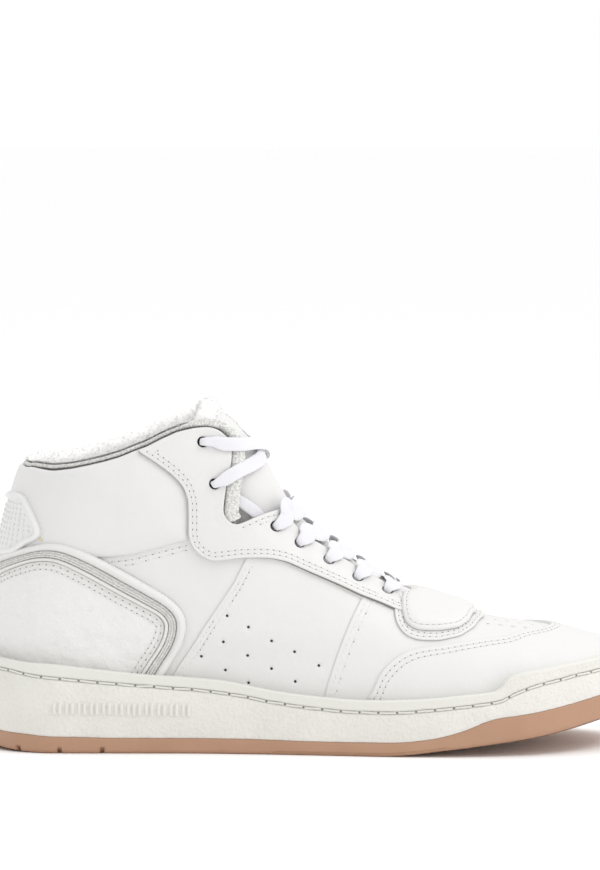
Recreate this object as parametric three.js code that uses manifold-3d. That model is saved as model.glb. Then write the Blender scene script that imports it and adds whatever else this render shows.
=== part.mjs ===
// High-top basketball shoe, right foot, men's EU 42 (US 9).
// Millimetres. +X points to the toe, +Y to the medial (inner) side, +Z up, and the sole stands on Z = 0.
// The origin is at the middle of the footprint. Every leather panel is cut from one surface, the last's, at its own
// layer: linings and stiffeners lie inside it, the base panels on it, and the overlays on those.
import * as THREE from "three";
import { mergeVertices } from "three/addons/utils/BufferGeometryUtils.js";
import Module from "manifold-3d";

const wasm = await Module();
wasm.setup();

// ---------- driving dimensions ----------
const SOLE_HEEL_X = -150, SOLE_TOE_X = 150; // overall length 300
const CUP_WALL = 5.2; // sidewall thickness of the rubber cup
const LAST_INSET = 8.5; // the last's surface, in from the sole's outline
const LEATHER = 1.3; // upper leather
const GAP = 0.3; // clearance between neighbouring pieces
const OVERLAY_0 = LEATHER + GAP, OVERLAY_1 = OVERLAY_0 + LEATHER;
const LINING_IN = -5.2, LINING_OUT = -3.9; // padded collar: lining behind 3.3 mm of foam
const FLAP_LINING_IN = -1.7, FLAP_LINING_OUT = -0.4; // lining where there is no padding
const LAST_TOE_X = 141.5;
const SHAFT_CAP = 178; // the surface is made up to here and cut down to the top line
const EYELET_R = 3.1;
const AXIS_HEEL_X = -100, AXIS_TOE_X = 88; // vertical axes that the heel's and the toe's ribs fan around

// ---------- small helpers ----------
function pchip(t) {
  const n = t.length, h = [], s = [], d = new Array(n).fill(0);
  for (let i = 0; i < n - 1; i++) {
    h.push(t[i + 1][0] - t[i][0]);
    s.push((t[i + 1][1] - t[i][1]) / h[i]);
  }
  for (let i = 1; i < n - 1; i++)
    if (s[i - 1] * s[i] > 0) {
      const w1 = 2 * h[i] + h[i - 1], w2 = h[i] + 2 * h[i - 1];
      d[i] = (w1 + w2) / (w1 / s[i - 1] + w2 / s[i]);
    }
  d[0] = s[0];
  d[n - 1] = s[n - 2];
  return (q) => {
    q = Math.min(Math.max(q, t[0][0]), t[n - 1][0]);
    let i = 0;
    while (i < n - 2 && q > t[i + 1][0]) i++;
    const u = (q - t[i][0]) / h[i], u2 = u * u, u3 = u2 * u;
    return (2 * u3 - 3 * u2 + 1) * t[i][1] + (u3 - 2 * u2 + u) * h[i] * d[i] + (3 * u2 - 2 * u3) * t[i + 1][1] + (u3 - u2) * h[i] * d[i + 1];
  };
}
const clamp = (v, a, b) => Math.min(Math.max(v, a), b);
const roundEnd = (t, p) => { t = clamp(t, 0, 1); return (1 - (1 - t) ** p) ** (1 / p); };
const smooth = (a, b, v) => { const t = clamp((v - a) / (b - a), 0, 1); return t * t * (3 - 2 * t); };
const rad = (a) => (a * Math.PI) / 180;

// ---------- the sole's outline and its heights along X ----------
const SOLE_W = pchip([[-150, 39], [-100, 39.2], [-75, 39], [-50, 38.2], [-25, 38.8], [0, 41.3], [25, 45.8], [50, 50.2], [75, 52.2], [95, 51.6], [110, 49.8], [125, 47.4], [150, 45]]);
const SOLE_C = pchip([[-150, 0], [-100, -0.3], [-75, -0.6], [-50, -1.8], [-25, -3.6], [0, -4.6], [25, -4.2], [50, -2.7], [75, -0.6], [95, 1.4], [110, 3], [125, 4.9], [135, 6], [150, 8]]);
const soleHalf = (x) => SOLE_W(x) * roundEnd((x - SOLE_HEEL_X) / 38, 2.1) * roundEnd((SOLE_TOE_X - x) / 58, 2.15);
const Z_BOTTOM = pchip([[-150, 3.2], [-140, 1.4], [-128, 0.3], [-115, 0], [30, 0], [42, 0.7], [56, 2.4], [78, 5.1], [100, 8.2], [110, 9.9], [128, 13.8], [140, 17], [150, 20]]);
const Z_GUM = pchip([[-150, 9.6], [-138, 8.7], [-128, 8.2], [-118, 7.4], [-105, 7.2], [-87, 6.8], [-32, 6.7], [3, 6.1], [35, 6.2], [50, 7.4], [58, 8.8], [66, 11], [72, 13.1], [78, 15.6], [84, 17.2], [92, 18.2], [100, 19.3], [113, 21.7], [128, 24.8], [140, 27.8], [150, 31]]);
const Z_STITCH = pchip([[-150, 37.6], [-138, 36.8], [-125, 34.8], [-111, 33.4], [-91, 31.6], [-70, 30], [-50, 28.5], [-32, 26.3], [-19, 23.8], [3, 20.9], [19, 19.8], [35, 19.7], [51, 20.8], [67, 22.4], [78, 23.8], [84.6, 24.9], [91, 28], [100, 31.2], [110, 33.4], [121, 35.4], [129, 36.6], [140, 38.4], [150, 39.6]]);
const Z_LIP = pchip([[-150, 42.6], [-138, 41.5], [-128, 40.6], [-118, 40.2], [-97, 38], [-77, 35.8], [-56, 34.4], [-40, 33], [-32, 31.6], [-19, 29], [3, 26.4], [24, 25.2], [46, 25.8], [67, 27.7], [82, 29.4], [85, 31.2], [88, 35], [94, 37.6], [105, 39.2], [116, 40.8], [129, 42.6], [140, 44.2], [150, 45.4]]);
const Z_BOARD = pchip([[-142, 25], [-100, 23.6], [-60, 21.4], [-20, 18], [20, 15.4], [50, 15], [78, 17], [100, 20], [128, 25.6], [142, 29.4]]);
const GUM_PLATE = 5.2, CUP_FLOOR = 2.4, BOARD = 1.5;

// ---------- the last's surface ----------
const X_BACK = pchip([[20, -138.6], [30, -140.2], [41, -141.2], [50, -141.9], [60, -142.2], [70, -141.7], [80, -140.3], [90, -138], [100, -135.3], [110, -132.8], [120, -130.8], [130, -129.6], [140, -129], [180, -128.6]]);
const H_RIDGE = pchip([[-150, 640], [-100, 440], [-60, 268], [-45, 208], [-36, 178], [-30, 160], [-25, 146], [-20, 133], [-13, 116], [-6, 104], [4, 95.4], [13, 88], [22, 81], [34, 73.2], [42, 68.6], [50, 65], [60, 61.6], [70, 59], [77, 57.4], [88, 55.4], [98, 53.8], [109, 52], [116, 50.2], [123, 47.6], [129, 44.8], [134, 41.4], [138, 37.6], [141.5, 33]]);
const F_Z = pchip([[15, 1], [41, 1], [55, 1.05], [75, 1.04], [90, 1.03], [105, 1.06], [120, 1.12], [135, 1.14], [180, 1.14]]);
const F_X = pchip([[-150, 1], [-40, 1], [20, 0.3], [60, 0], [150, 0]]);
const M_TOP = pchip([[-150, 2.3], [40, 2.3], [90, 2.75], [150, 2.75]]);
const zFeather = (x) => Z_BOARD(x) - BOARD;
const lastWidth = (x, z) => (SOLE_W(x) - LAST_INSET) * (1 + (F_Z(z) - 1) * F_X(x));
const lastCentre = (x, z) => SOLE_C(x) * (1 - 0.5 * smooth(30, 110, z));
const planEnds = (x, z) => roundEnd((x - X_BACK(z)) / 40, 2.15) * roundEnd((LAST_TOE_X - x) / 52, 2.2);
function lastHalf(x, z) {
  const r = clamp((z - zFeather(x)) / (H_RIDGE(x) - zFeather(x)), 0, 1);
  return lastWidth(x, z) * planEnds(x, z) * (1 - r ** M_TOP(x)) ** (1 / 1.9);
}
// height of the surface over a plan position, for the toe
function lastTop(x, y) {
  const w = lastWidth(x, 20) * roundEnd((LAST_TOE_X - x) / 52, 2.2), q = clamp(Math.abs(y - lastCentre(x, 50)) / Math.max(w, 1e-6), 0, 1);
  return zFeather(x) + (H_RIDGE(x) - zFeather(x)) * (1 - q ** 1.9) ** (1 / M_TOP(x));
}
// a point of the surface by its side-view place, offset outwards by d. side is -1 lateral, +1 medial
function skin(side, x, z, d = 0) {
  const f = (a, b) => lastCentre(a, b) + side * lastHalf(a, b), h = 0.25;
  const n = new THREE.Vector3(-side * (f(x + h, z) - f(x - h, z)) / (2 * h), side, -side * (f(x, z + h) - f(x, z - h)) / (2 * h)).normalize();
  if (x <= X_BACK(z) + 0.05) n.set(-1, 0, 0);
  return { p: new THREE.Vector3(x, f(x, z), z).addScaledVector(n, d), n };
}

// one rib: a list of points from the feather line to the top, evenly spaced
const ROWS = 10;
function resample(points, n) {
  const along = [0];
  for (let i = 1; i < points.length; i++) along.push(along[i - 1] + points[i].distanceTo(points[i - 1]));
  const out = [], L = along[along.length - 1];
  let k = 0;
  for (let i = 0; i <= n; i++) {
    const s = (L * i) / n;
    while (k < points.length - 2 && along[k + 1] < s) k++;
    out.push(points[k].clone().lerp(points[k + 1], clamp((s - along[k]) / Math.max(along[k + 1] - along[k], 1e-9), 0, 1)));
  }
  return out;
}
function heelRib(side, a) {
  const pts = [];
  for (let i = 0; i <= 60; i++) {
    const z = zFeather(AXIS_HEEL_X) + ((SHAFT_CAP - zFeather(AXIS_HEEL_X)) * i) / 60;
    let lo = 0, hi = 60;
    for (let k = 0; k < 40; k++) {
      const r = (lo + hi) / 2, x = AXIS_HEEL_X - r * Math.cos(a);
      if (x > X_BACK(z) && r * Math.sin(a) < lastHalf(x, z)) lo = r; else hi = r;
    }
    const x = AXIS_HEEL_X - lo * Math.cos(a);
    pts.push(new THREE.Vector3(x, lastCentre(x, z) + side * lo * Math.sin(a), z + (zFeather(x) - zFeather(AXIS_HEEL_X)) * (1 - i / 60)));
  }
  return resample(pts, ROWS);
}
function sideRib(side, x) {
  const top = Math.min(H_RIDGE(x), SHAFT_CAP), pts = [];
  for (let i = 0; i <= 90; i++) {
    const z = zFeather(x) + (top - zFeather(x)) * Math.sin((Math.PI / 2) * (i / 90));
    pts.push(new THREE.Vector3(x, lastCentre(x, z) + side * lastHalf(x, z), z));
  }
  return resample(pts, ROWS);
}
function toeRib(side, b) {
  let lo = 0, hi = 70;
  const inside = (r) => {
    const x = AXIS_TOE_X + r * Math.cos(b);
    return x < LAST_TOE_X && r * Math.sin(b) < lastWidth(x, 20) * roundEnd((LAST_TOE_X - x) / 52, 2.2);
  };
  for (let k = 0; k < 40; k++) { const m = (lo + hi) / 2; if (inside(m)) lo = m; else hi = m; }
  const pts = [];
  for (let i = 0; i <= 90; i++) {
    const r = i === 90 ? 0 : lo * Math.cos((Math.PI / 2) * (i / 90)) ** 0.7, x = AXIS_TOE_X + r * Math.cos(b), y = lastCentre(x, 50) + side * r * Math.sin(b);
    pts.push(new THREE.Vector3(x, y, i === 0 ? zFeather(x) : lastTop(x, y)));
  }
  return resample(pts, ROWS);
}
const ribsOf = (side) => {
  const out = [];
  for (let i = 0; i < 5; i++) out.push(heelRib(side, rad(18 * i + (i === 0 ? 0 : 0))));
  for (const x of [-100, -86, -72, -60, -50, -42, -33, -25, -17, -8, 2, 14, 28, 42, 57, 73]) out.push(sideRib(side, x));
  for (let i = 0; i <= 6; i++) out.push(toeRib(side, rad(90 - 15 * i)));
  return out;
};
const LAT = ribsOf(-1), MED = ribsOf(1), NR = LAT.length;
const RING = [...LAT, ...MED.slice(1, -1).reverse()]; // heel centre, lateral, toe centre, medial
for (let j = 0; j <= ROWS; j++) {
  RING[0][j].y = lastCentre(RING[0][j].x, RING[0][j].z);
  RING[NR - 1][j].y = lastCentre(RING[NR - 1][j].x, 50);
}
const isRidge = (i) => RING[i][ROWS].z < SHAFT_CAP - 0.01;
const NORMALS = RING.map((rib, i) => rib.map((p, j) => {
  if (j === ROWS && isRidge(i)) {
    const x = rib[j].x, s = (H_RIDGE(x + 0.5) - H_RIDGE(x - 0.5)) / 1;
    return new THREE.Vector3(-s, 0, 1).normalize();
  }
  const n = RING.length, a = RING[(i + 1) % n][j], b = RING[(i + n - 1) % n][j], c = rib[Math.min(j + 1, ROWS)], d = rib[Math.max(j - 1, 0)];
  const t = new THREE.Vector3().subVectors(a, b), u = new THREE.Vector3().subVectors(c, d);
  return t.cross(u).normalize();
}));
{ // outward everywhere
  const c = new THREE.Vector3(0, 0, 60);
  const k = NORMALS[8][4].dot(new THREE.Vector3().subVectors(RING[8][4], c)) < 0 ? -1 : 1;
  NORMALS.forEach((r, i) => r.forEach((v, j) => { if (!(j === ROWS && isRidge(i))) v.multiplyScalar(k); }));
}

function solidFrom(positions, index) {
  const g = new THREE.BufferGeometry();
  g.setAttribute("position", new THREE.BufferAttribute(new Float32Array(positions), 3));
  g.setIndex(index);
  return solid(g);
}
function solid(geometry) {
  const g = geometry.clone();
  g.deleteAttribute("normal");
  g.deleteAttribute("uv");
  const m = mergeVertices(g, 1e-4);
  const tri = [];
  const id = m.index.array;
  for (let i = 0; i < id.length; i += 3) if (id[i] !== id[i + 1] && id[i + 1] !== id[i + 2] && id[i] !== id[i + 2]) tri.push(id[i], id[i + 1], id[i + 2]);
  let made = new wasm.Manifold(new wasm.Mesh({ numProp: 3, vertProperties: m.attributes.position.array, triVerts: new Uint32Array(tri) }));
  if (made.volume() < 0) {
    for (let i = 0; i < tri.length; i += 3) [tri[i + 1], tri[i + 2]] = [tri[i + 2], tri[i + 1]];
    made = new wasm.Manifold(new wasm.Mesh({ numProp: 3, vertProperties: m.attributes.position.array, triVerts: new Uint32Array(tri) }));
  }
  return made;
}

// the closed shell between two offsets of the last's surface, each a number or a function of (x, z)
function shell(d0, d1) {
  const f0 = typeof d0 === "function" ? d0 : () => d0, f1 = typeof d1 === "function" ? d1 : () => d1;
  const n = RING.length, pos = [], idx = [], at = (s, i, j) => (s * n + (i % n)) * (ROWS + 1) + j;
  for (const f of [f0, f1])
    for (let i = 0; i < n; i++)
      for (let j = 0; j <= ROWS; j++) {
        // both halves share the ridge's points, and the toe's ribs share the pole
        let src = i, p = RING[i][j];
        if (j === ROWS && isRidge(i)) {
          const x = p.x;
          p = new THREE.Vector3(x, lastCentre(x, Math.max(p.z, 50)), p.z);
        }
        const q = p.clone().addScaledVector(NORMALS[src][j], f(p.x, p.z));
        pos.push(q.x, q.y, q.z);
      }
  for (let i = 0; i < n; i++) {
    for (let j = 0; j < ROWS; j++) {
      const a = at(1, i, j), b = at(1, i + 1, j), c = at(1, i + 1, j + 1), d = at(1, i, j + 1);
      idx.push(a, b, c, a, c, d);
      const e = at(0, i, j), f = at(0, i + 1, j), g = at(0, i + 1, j + 1), h = at(0, i, j + 1);
      idx.push(e, g, f, e, h, g);
    }
    idx.push(at(1, i, 0), at(0, i, 0), at(0, i + 1, 0), at(1, i, 0), at(0, i + 1, 0), at(1, i + 1, 0));
    const i2 = (i + 1) % n;
    if (!(isRidge(i) && isRidge(i2))) {
      const t = ROWS;
      idx.push(at(1, i, t), at(1, i2, t), at(0, i2, t), at(1, i, t), at(0, i2, t), at(0, i, t));
    }
  }
  return solidFrom(pos, idx);
}

const grown = (s, d) => [[d, 0, 0], [-d, 0, 0], [0, 0, d], [0, 0, -d]].reduce((a, t) => a.add(s.translate(t)), s);
// prisms that cut panels out of the shells: outlines in side view (x, z) or in plan (x, y)
function prism(outline, y0 = -120, y1 = 120) {
  const g = new THREE.ExtrudeGeometry(new THREE.Shape(outline.map((p) => new THREE.Vector2(p[0], p[1]))), { depth: y1 - y0, bevelEnabled: false, steps: 1 });
  g.rotateX(Math.PI / 2);
  g.translate(0, y1, 0);
  return solid(g);
}
function planPrism(outline, z0 = -20, z1 = 220) {
  const g = new THREE.ExtrudeGeometry(new THREE.Shape(outline.map((p) => new THREE.Vector2(p[0], p[1]))), { depth: z1 - z0, bevelEnabled: false, steps: 1 });
  g.translate(0, 0, z0);
  return solid(g);
}
const biggest = (s) => s.decompose().sort((a, b) => b.volume() - a.volume())[0];
const LATERAL = [-120, -0.2], MEDIAL = [0.2, 120];

const root = new THREE.Group();
function put(name, s, material, tolerance = 0.1) {
  const m = biggest(s.simplify(tolerance)).getMesh(), n = m.numProp, v = new Float32Array(m.numVert * 3);
  for (let i = 0; i < m.numVert; i++) v.set(m.vertProperties.subarray(i * n, i * n + 3), i * 3);
  const g = new THREE.BufferGeometry();
  g.setAttribute("position", new THREE.BufferAttribute(v, 3));
  g.setIndex(new THREE.BufferAttribute(new Uint32Array(m.triVerts), 1));
  g.computeVertexNormals();
  const mesh = new THREE.Mesh(g, material);
  mesh.name = name;
  root.add(mesh);
  return mesh;
}
const mat = (hex, roughness, metalness = 0) => new THREE.MeshStandardMaterial({ color: hex, roughness, metalness });
const WHITE_LEATHER = mat(0xebebe9, 0.5), TUMBLED = mat(0xececeb, 0.6), CREAM_LEATHER = mat(0xe6e4dd, 0.55), CUP_RUBBER = mat(0xe2e0d8, 0.75),
  GUM = mat(0xb0835f, 0.55), TERRY = mat(0xefedea, 0.95), KNIT = mat(0xd9d7d2, 0.9), FOAM = mat(0xe9e4cf, 0.95), BOARD_MAT = mat(0xd8c9a8, 0.9),
  STIFFENER = mat(0xcfc6b4, 0.8), THREAD = mat(0xe6e3d9, 0.7), LACE = mat(0xf0f0f3, 0.85), TAB = mat(0xf0eff0, 0.4), TIP = mat(0xf2f2f2, 0.25);

// ---------- the bottom ----------
const STATIONS = (() => {
  const xs = [];
  for (let i = 1; i <= 6; i++) xs.push(SOLE_HEEL_X + 38 * (1 - Math.cos(rad(15 * i))));
  for (const x of [-97, -82, -66, -50, -35, -20, -5, 10, 25, 40, 52, 62, 70, 77, 83, 86, 90]) xs.push(x);
  for (let i = 6; i >= 1; i--) xs.push(SOLE_TOE_X - 56 * (1 - Math.cos(rad(14.5 * i))));
  return xs.sort((a, b) => a - b).filter((x, i, l) => i === 0 || x - l[i - 1] > 1.2);
})();
const NS = STATIONS.length;
const OUTLINE = [[SOLE_HEEL_X, 0], ...STATIONS.map((x) => [x, SOLE_C(x) - soleHalf(x)]), [SOLE_TOE_X, SOLE_C(150)], ...[...STATIONS].reverse().map((x) => [x, SOLE_C(x) + soleHalf(x)])];
const OUT_N = OUTLINE.map((p, i) => {
  const a = OUTLINE[(i + 1) % OUTLINE.length], b = OUTLINE[(i + OUTLINE.length - 1) % OUTLINE.length];
  const t = [a[0] - b[0], a[1] - b[1]], l = Math.hypot(...t);
  return [-t[1] / l, t[0] / l]; // inwards, for an outline that runs heel, lateral, toe, medial
});
const inset = (d) => OUTLINE.map((p, i) => [p[0] + OUT_N[i][0] * d, p[1] + OUT_N[i][1] * d]);
// a closed solid from loops of the same count, one above the other
function loft(loops) {
  const n = loops[0].length, pos = [], idx = [];
  for (const l of loops) for (const p of l) pos.push(...p);
  for (let k = 0; k < loops.length - 1; k++)
    for (let i = 0; i < n; i++) {
      const a = k * n + i, b = k * n + ((i + 1) % n), c = (k + 1) * n + ((i + 1) % n), d = (k + 1) * n + i;
      idx.push(a, b, c, a, c, d);
    }
  const cap = (k, flip) => {
    const o = k * n, half = n / 2, tri = (a, b, c) => (flip ? idx.push(a, c, b) : idx.push(a, b, c));
    // 0 is the heel's middle, half the toe's, i and n - i face each other
    tri(o, o + 1, o + n - 1);
    for (let i = 1; i < half - 1; i++) { tri(o + i, o + i + 1, o + n - i - 1); tri(o + i, o + n - i - 1, o + n - i); }
    tri(o + half - 1, o + half, o + half + 1);
  };
  cap(0, true);
  cap(loops.length - 1, false);
  return solidFrom(pos, idx);
}
const loop = (d, z) => inset(d).map((p) => [p[0], p[1], z(clamp(p[0], -150, 150))]);
const gumTop = (x) => Math.max(Z_GUM(x), Z_BOTTOM(x) + GUM_PLATE + 0.5);
let outsole = loft([loop(1.4, Z_BOTTOM), loop(0, (x) => Z_BOTTOM(x) + 1.6), loop(0.2, gumTop), loop(3.3, gumTop), loop(3.3, (x) => Z_BOTTOM(x) + GUM_PLATE)]);
// tread: heel notches that open at the sides, a pivot ring and flex grooves under the forefoot
for (const x of [-131.5, -112.8, -93.4]) outsole = outsole.subtract(solid(new THREE.BoxGeometry(1.9, 140, 5).translate(x, 0, Z_BOTTOM(x) + 0.1)));
outsole = outsole.subtract(solid(new THREE.TorusGeometry(21, 1.5, 6, 28).translate(66, -1, 3.2)));
outsole = outsole.subtract(solid(new THREE.TorusGeometry(12, 1.3, 6, 22).translate(66, -1, 3.2)));
for (const x of [-60, -40, -20, 0, 20]) outsole = outsole.subtract(solid(new THREE.BoxGeometry(2.2, 60, 3.2).translate(x, SOLE_C(x), 0)));
put("outsole", outsole, GUM);

const cupOuter = loft([
  loop(3.6, (x) => Z_BOTTOM(x) + GUM_PLATE + GAP), loop(3.6, (x) => gumTop(x) + GAP), loop(0.4, (x) => gumTop(x) + GAP + 0.05),
  loop(0, (x) => gumTop(x) + 0.4 * (Z_STITCH(x) - gumTop(x))), loop(0.3, (x) => Z_STITCH(x) - 1.4), loop(1.9, Z_STITCH), loop(0.6, (x) => Z_STITCH(x) + 1.2),
  loop(0.6, (x) => (Z_STITCH(x) + Z_LIP(x)) / 2 + 0.6), loop(1.5, (x) => Z_LIP(x) - 0.7), loop(3, Z_LIP)]);
const cupHollow = loft([loop(CUP_WALL, (x) => Z_BOTTOM(x) + GUM_PLATE + GAP + CUP_FLOOR), loop(CUP_WALL, () => 70)]);
put("cupsole", cupOuter.subtract(cupHollow), CUP_RUBBER);
// the wall with its clearance, which the upper's outer layers stop short of
const cupClear = grown(cupOuter.subtract(loft([loop(CUP_WALL, () => -20), loop(CUP_WALL, () => 70)])), GAP);

// the lock-stitch that holds the cup to the upper, lying in its groove
{
  const path = inset(0.8).map((p) => [p[0], p[1], Z_STITCH(clamp(p[0], -150, 150))]), n = path.length, K = 4, pos = [], idx = [];
  for (let i = 0; i < n; i++)
    for (let k = 0; k < K; k++) {
      const a = (2 * Math.PI * k) / K;
      pos.push(path[i][0] + OUT_N[i][0] * 0.42 * Math.cos(a), path[i][1] + OUT_N[i][1] * 0.42 * Math.cos(a), path[i][2] + 0.42 * Math.sin(a));
    }
  for (let i = 0; i < n; i++) for (let k = 0; k < K; k++) {
    const a = i * K + k, b = ((i + 1) % n) * K + k, c = ((i + 1) % n) * K + ((k + 1) % K), d = i * K + ((k + 1) % K);
    idx.push(a, b, c, a, c, d);
  }
  put("sole_stitch", solidFrom(pos, idx), THREAD);
}
put("midsole_foam", loft([loop(CUP_WALL + GAP, (x) => Z_BOTTOM(x) + GUM_PLATE + CUP_FLOOR + 2 * GAP), loop(CUP_WALL + GAP, (x) => zFeather(clamp(x, -142, 142)) - 0.8)]), FOAM);

// plates inside the upper follow the last's own outline
const PLATE_X = (() => {
  const xs = [];
  for (let i = 1; i <= 5; i++) xs.push(-133 + 38 * (1 - Math.cos(rad(18 * i))));
  for (const x of [-80, -60, -40, -20, 0, 20, 40, 60, 78]) xs.push(x);
  for (let i = 5; i >= 1; i--) xs.push(136 - 48 * (1 - Math.cos(rad(18 * i))));
  return xs;
})();
function plate(inner, z0, z1, z2) {
  const half = (x) => (SOLE_W(x) - LAST_INSET - inner) * roundEnd((x + 139 - inner) / (40 - inner), 2.15) * roundEnd((LAST_TOE_X - inner - x) / (52 - inner), 2.2);
  const hx = -139 + inner, tx = LAST_TOE_X - inner, xs = PLATE_X.map((x) => hx + ((x + 133) / 269) * (tx - hx));
  const line = [[hx, 0], ...xs.slice(1, -1).map((x) => [x, SOLE_C(x) - half(x)]), [tx, SOLE_C(tx)], ...xs.slice(1, -1).reverse().map((x) => [x, SOLE_C(x) + half(x)])];
  const zc = (x) => clamp(x, -142, 142), at = (z, d) => line.map((p) => [p[0], p[1], z(zc(p[0])) + d]);
  return loft(z2 ? [at(z0, 0), at(z1, 0), at(z2, 0)] : [at(z0, 0), at(z1, 0)]);
}
put("strobel_board", plate(6, zFeather, Z_BOARD), BOARD_MAT);
put("sockliner", plate(6.8, (x) => Z_BOARD(x) + GAP, (x) => Z_BOARD(x) + GAP + 3.4 + 1.6 * (1 - smooth(-110, -20, x))), TERRY);

// ---------- outlines of the upper's panels, in side view (x, z) ----------
const EYESTAY = [[-77.9, 136], [-73.4, 137.6], [-67.2, 140.8], [-60.1, 143.9], [-53, 145.5], [-46.7, 145.8], [-42.3, 144.3], [-38.3, 140.7], [-36.5, 136.2], [-36.5, 131], [-37.4, 124.4], [-38.7, 118.2], [-39.6, 109.8], [-39.4, 106.6], [-36.9, 103.2], [-33.8, 101.9], [-30.7, 102.9], [-23.6, 105.8], [-14.2, 107.4],
  [-10, 130], [60, 100], [48, 70], [45.6, 66.5], [44.9, 63.2], [43.2, 60.6], [37.4, 62.1], [30.7, 65.2], [21.8, 68.8], [12.9, 73.2], [4, 77.3], [-4.9, 81.3], [-11.6, 84.5], [-18.2, 86.4], [-23.6, 86.9], [-31.6, 87], [-38.3, 86.2], [-44.1, 85.7], [-47.6, 87.1], [-51.2, 89.8], [-53.8, 93.3], [-55, 97.8], [-55, 105.4], [-55.2, 113.5], [-57, 118.9], [-60.1, 122.9], [-63.6, 126.1], [-70.3, 131.1]];
const COLLAR = [[-170, 123.5], [-132, 125], [-128, 126.4], [-125, 127.1], [-115.7, 126.1], [-107.2, 127.4], [-100.6, 128.9], [-93, 130.7], [-85.9, 132.7], [-77.9, 136], [-70, 134], [-45, 120], [-45, 95], [-55, 95.1], [-67.2, 92], [-80.5, 88.5], [-91.7, 87.4], [-100, 87.4], [-115, 88], [-128, 84], [-170, 76]];
const REAR_EDGE = [[-29.4, 85.3], [-35.2, 76], [-41.4, 66.7], [-48.1, 56.9], [-54.7, 46.5], [-59.2, 39.8], [-63.6, 32.6], [-72, 18]];
const SIDE_EDGE = [[22.7, 68.3], [18.2, 60], [14.2, 50.5], [10.7, 40.8], [7.1, 29.2], [4, 15]];
// half width of the open throat about the upper's middle line, seen from above
const THROAT_HALF = pchip([[-32, 22.5], [-23.6, 19.2], [-14.2, 16], [-5, 13.6], [10, 12.1], [25, 10.8], [34, 9.8], [38.5, 8.7], [40.5, 4]]);
const THROAT_EDGE = (x, side) => lastCentre(x, 80) + side * (THROAT_HALF(x) + (side > 0 ? smooth(10, -6, x) : 0));
const THROAT_XS = [-32, -23.6, -14.2, -5, 10, 25, 34, 38.5, 40.5];
const THROAT = [...THROAT_XS.map((x) => [x, THROAT_EDGE(x, -1)]), ...[...THROAT_XS].reverse().map((x) => [x, THROAT_EDGE(x, 1)])];
const MUD_TOP = [[25.4, 24], [28, 28.6], [30.7, 35.3], [33.8, 39.2], [37.4, 42.2], [41.8, 44.8], [47.2, 46.2], [53.8, 46.8], [60.1, 47.2], [69.9, 48.7], [79.7, 49.7], [89.4, 50.2], [96.6, 50.9], [104.6, 51.6], [111.7, 53.3], [118.4, 60]];
const D_UPPER = [[41.4, 80], [41.4, 67.2], [41.8, 60.7], [43.6, 56.5], [47.6, 54], [57.4, 53.2], [65.4, 53.8], [69.4, 56.1], [71.2, 59], [72.1, 66], [72.1, 80]];
const D_LOWER = [[36.9, 80], [36.9, 60.8], [38.7, 55.4], [42.3, 51.2], [47.6, 49.4], [57.4, 48.9], [67.2, 50.4], [73, 53.4], [76.1, 57], [77.4, 62], [77.4, 80]];
const ROLL_OUTER = [[-149.5, 79.5], [-138.4, 85.4], [-129.5, 89.8], [-121.5, 92.9], [-115.9, 94.3], [-109.9, 93.6], [-103, 91.1], [-96.1, 87.8], [-90.8, 85.2], [-80.5, 79.4], [-70.3, 73.6], [-63.6, 69.5], [-58.7, 65.1], [-56.1, 60.9], [-55.6, 54.9], [-58, 47.4], [-62.1, 40.4], [-65.6, 35.4]];
const BAND_INNER = [[-149.5, 71], [-138.4, 77.6], [-131.7, 81.8], [-124.8, 84.8], [-117.9, 85.8], [-113.2, 85.2], [-107.7, 82.8], [-97.5, 77.4], [-87.2, 71.6], [-77, 66.2], [-67.6, 61.3], [-64.9, 57.6], [-66.3, 51.5], [-70.3, 44.5], [-74.3, 38.5], [-76.4, 35.6]];
const TAB_OUTLINE = [[-170, 112.6], [-133.3, 112.6], [-129.5, 114.8], [-127.3, 114.6], [-125.8, 112.6], [-123.7, 107.4], [-121, 99.6], [-120.6, 97.4], [-122.4, 95.4], [-138.4, 88.3], [-147.3, 84.5], [-170, 80]];
const EYELETS = [[-49, 139.2], [-43.6, 120.5], [-16.9, 100.3], [-6.2, 91.9], [7.1, 83.9], [20, 75.8], [33.4, 69.4]];
const QUARTER_HOLES = [[-37.5, 61.4], [-28, 56.4], [-17.6, 50.3], [-7.3, 45.5], [3.6, 39.4], [-39.2, 49.8], [-28.3, 43.6], [-17.6, 37.8], [-6.9, 32.2], [-49.1, 43.1], [-38.3, 36.9], [-27.9, 31.3]];

const baseShell = shell(0, LEATHER), overShell = shell(OVERLAY_0, OVERLAY_1);
const throat = planPrism(THROAT, 40, 120);
const eyeRegion = (r) => prism(EYESTAY, ...r);
// a drill along the surface's normal at a side-view place
function drill(side, x, z, r, depth = 9, n = 8) {
  const s = skin(side, x, z), g = new THREE.CylinderGeometry(r, r, depth * 2, n);
  g.applyQuaternion(new THREE.Quaternion().setFromUnitVectors(new THREE.Vector3(0, 1, 0), s.n));
  g.translate(s.p.x, s.p.y, s.p.z);
  return solid(g);
}
const drills = (side, list, r, depth, n) => list.map((h) => drill(side, h[0], h[1], r, depth, n)).reduce((a, b) => a.add(b));

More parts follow.
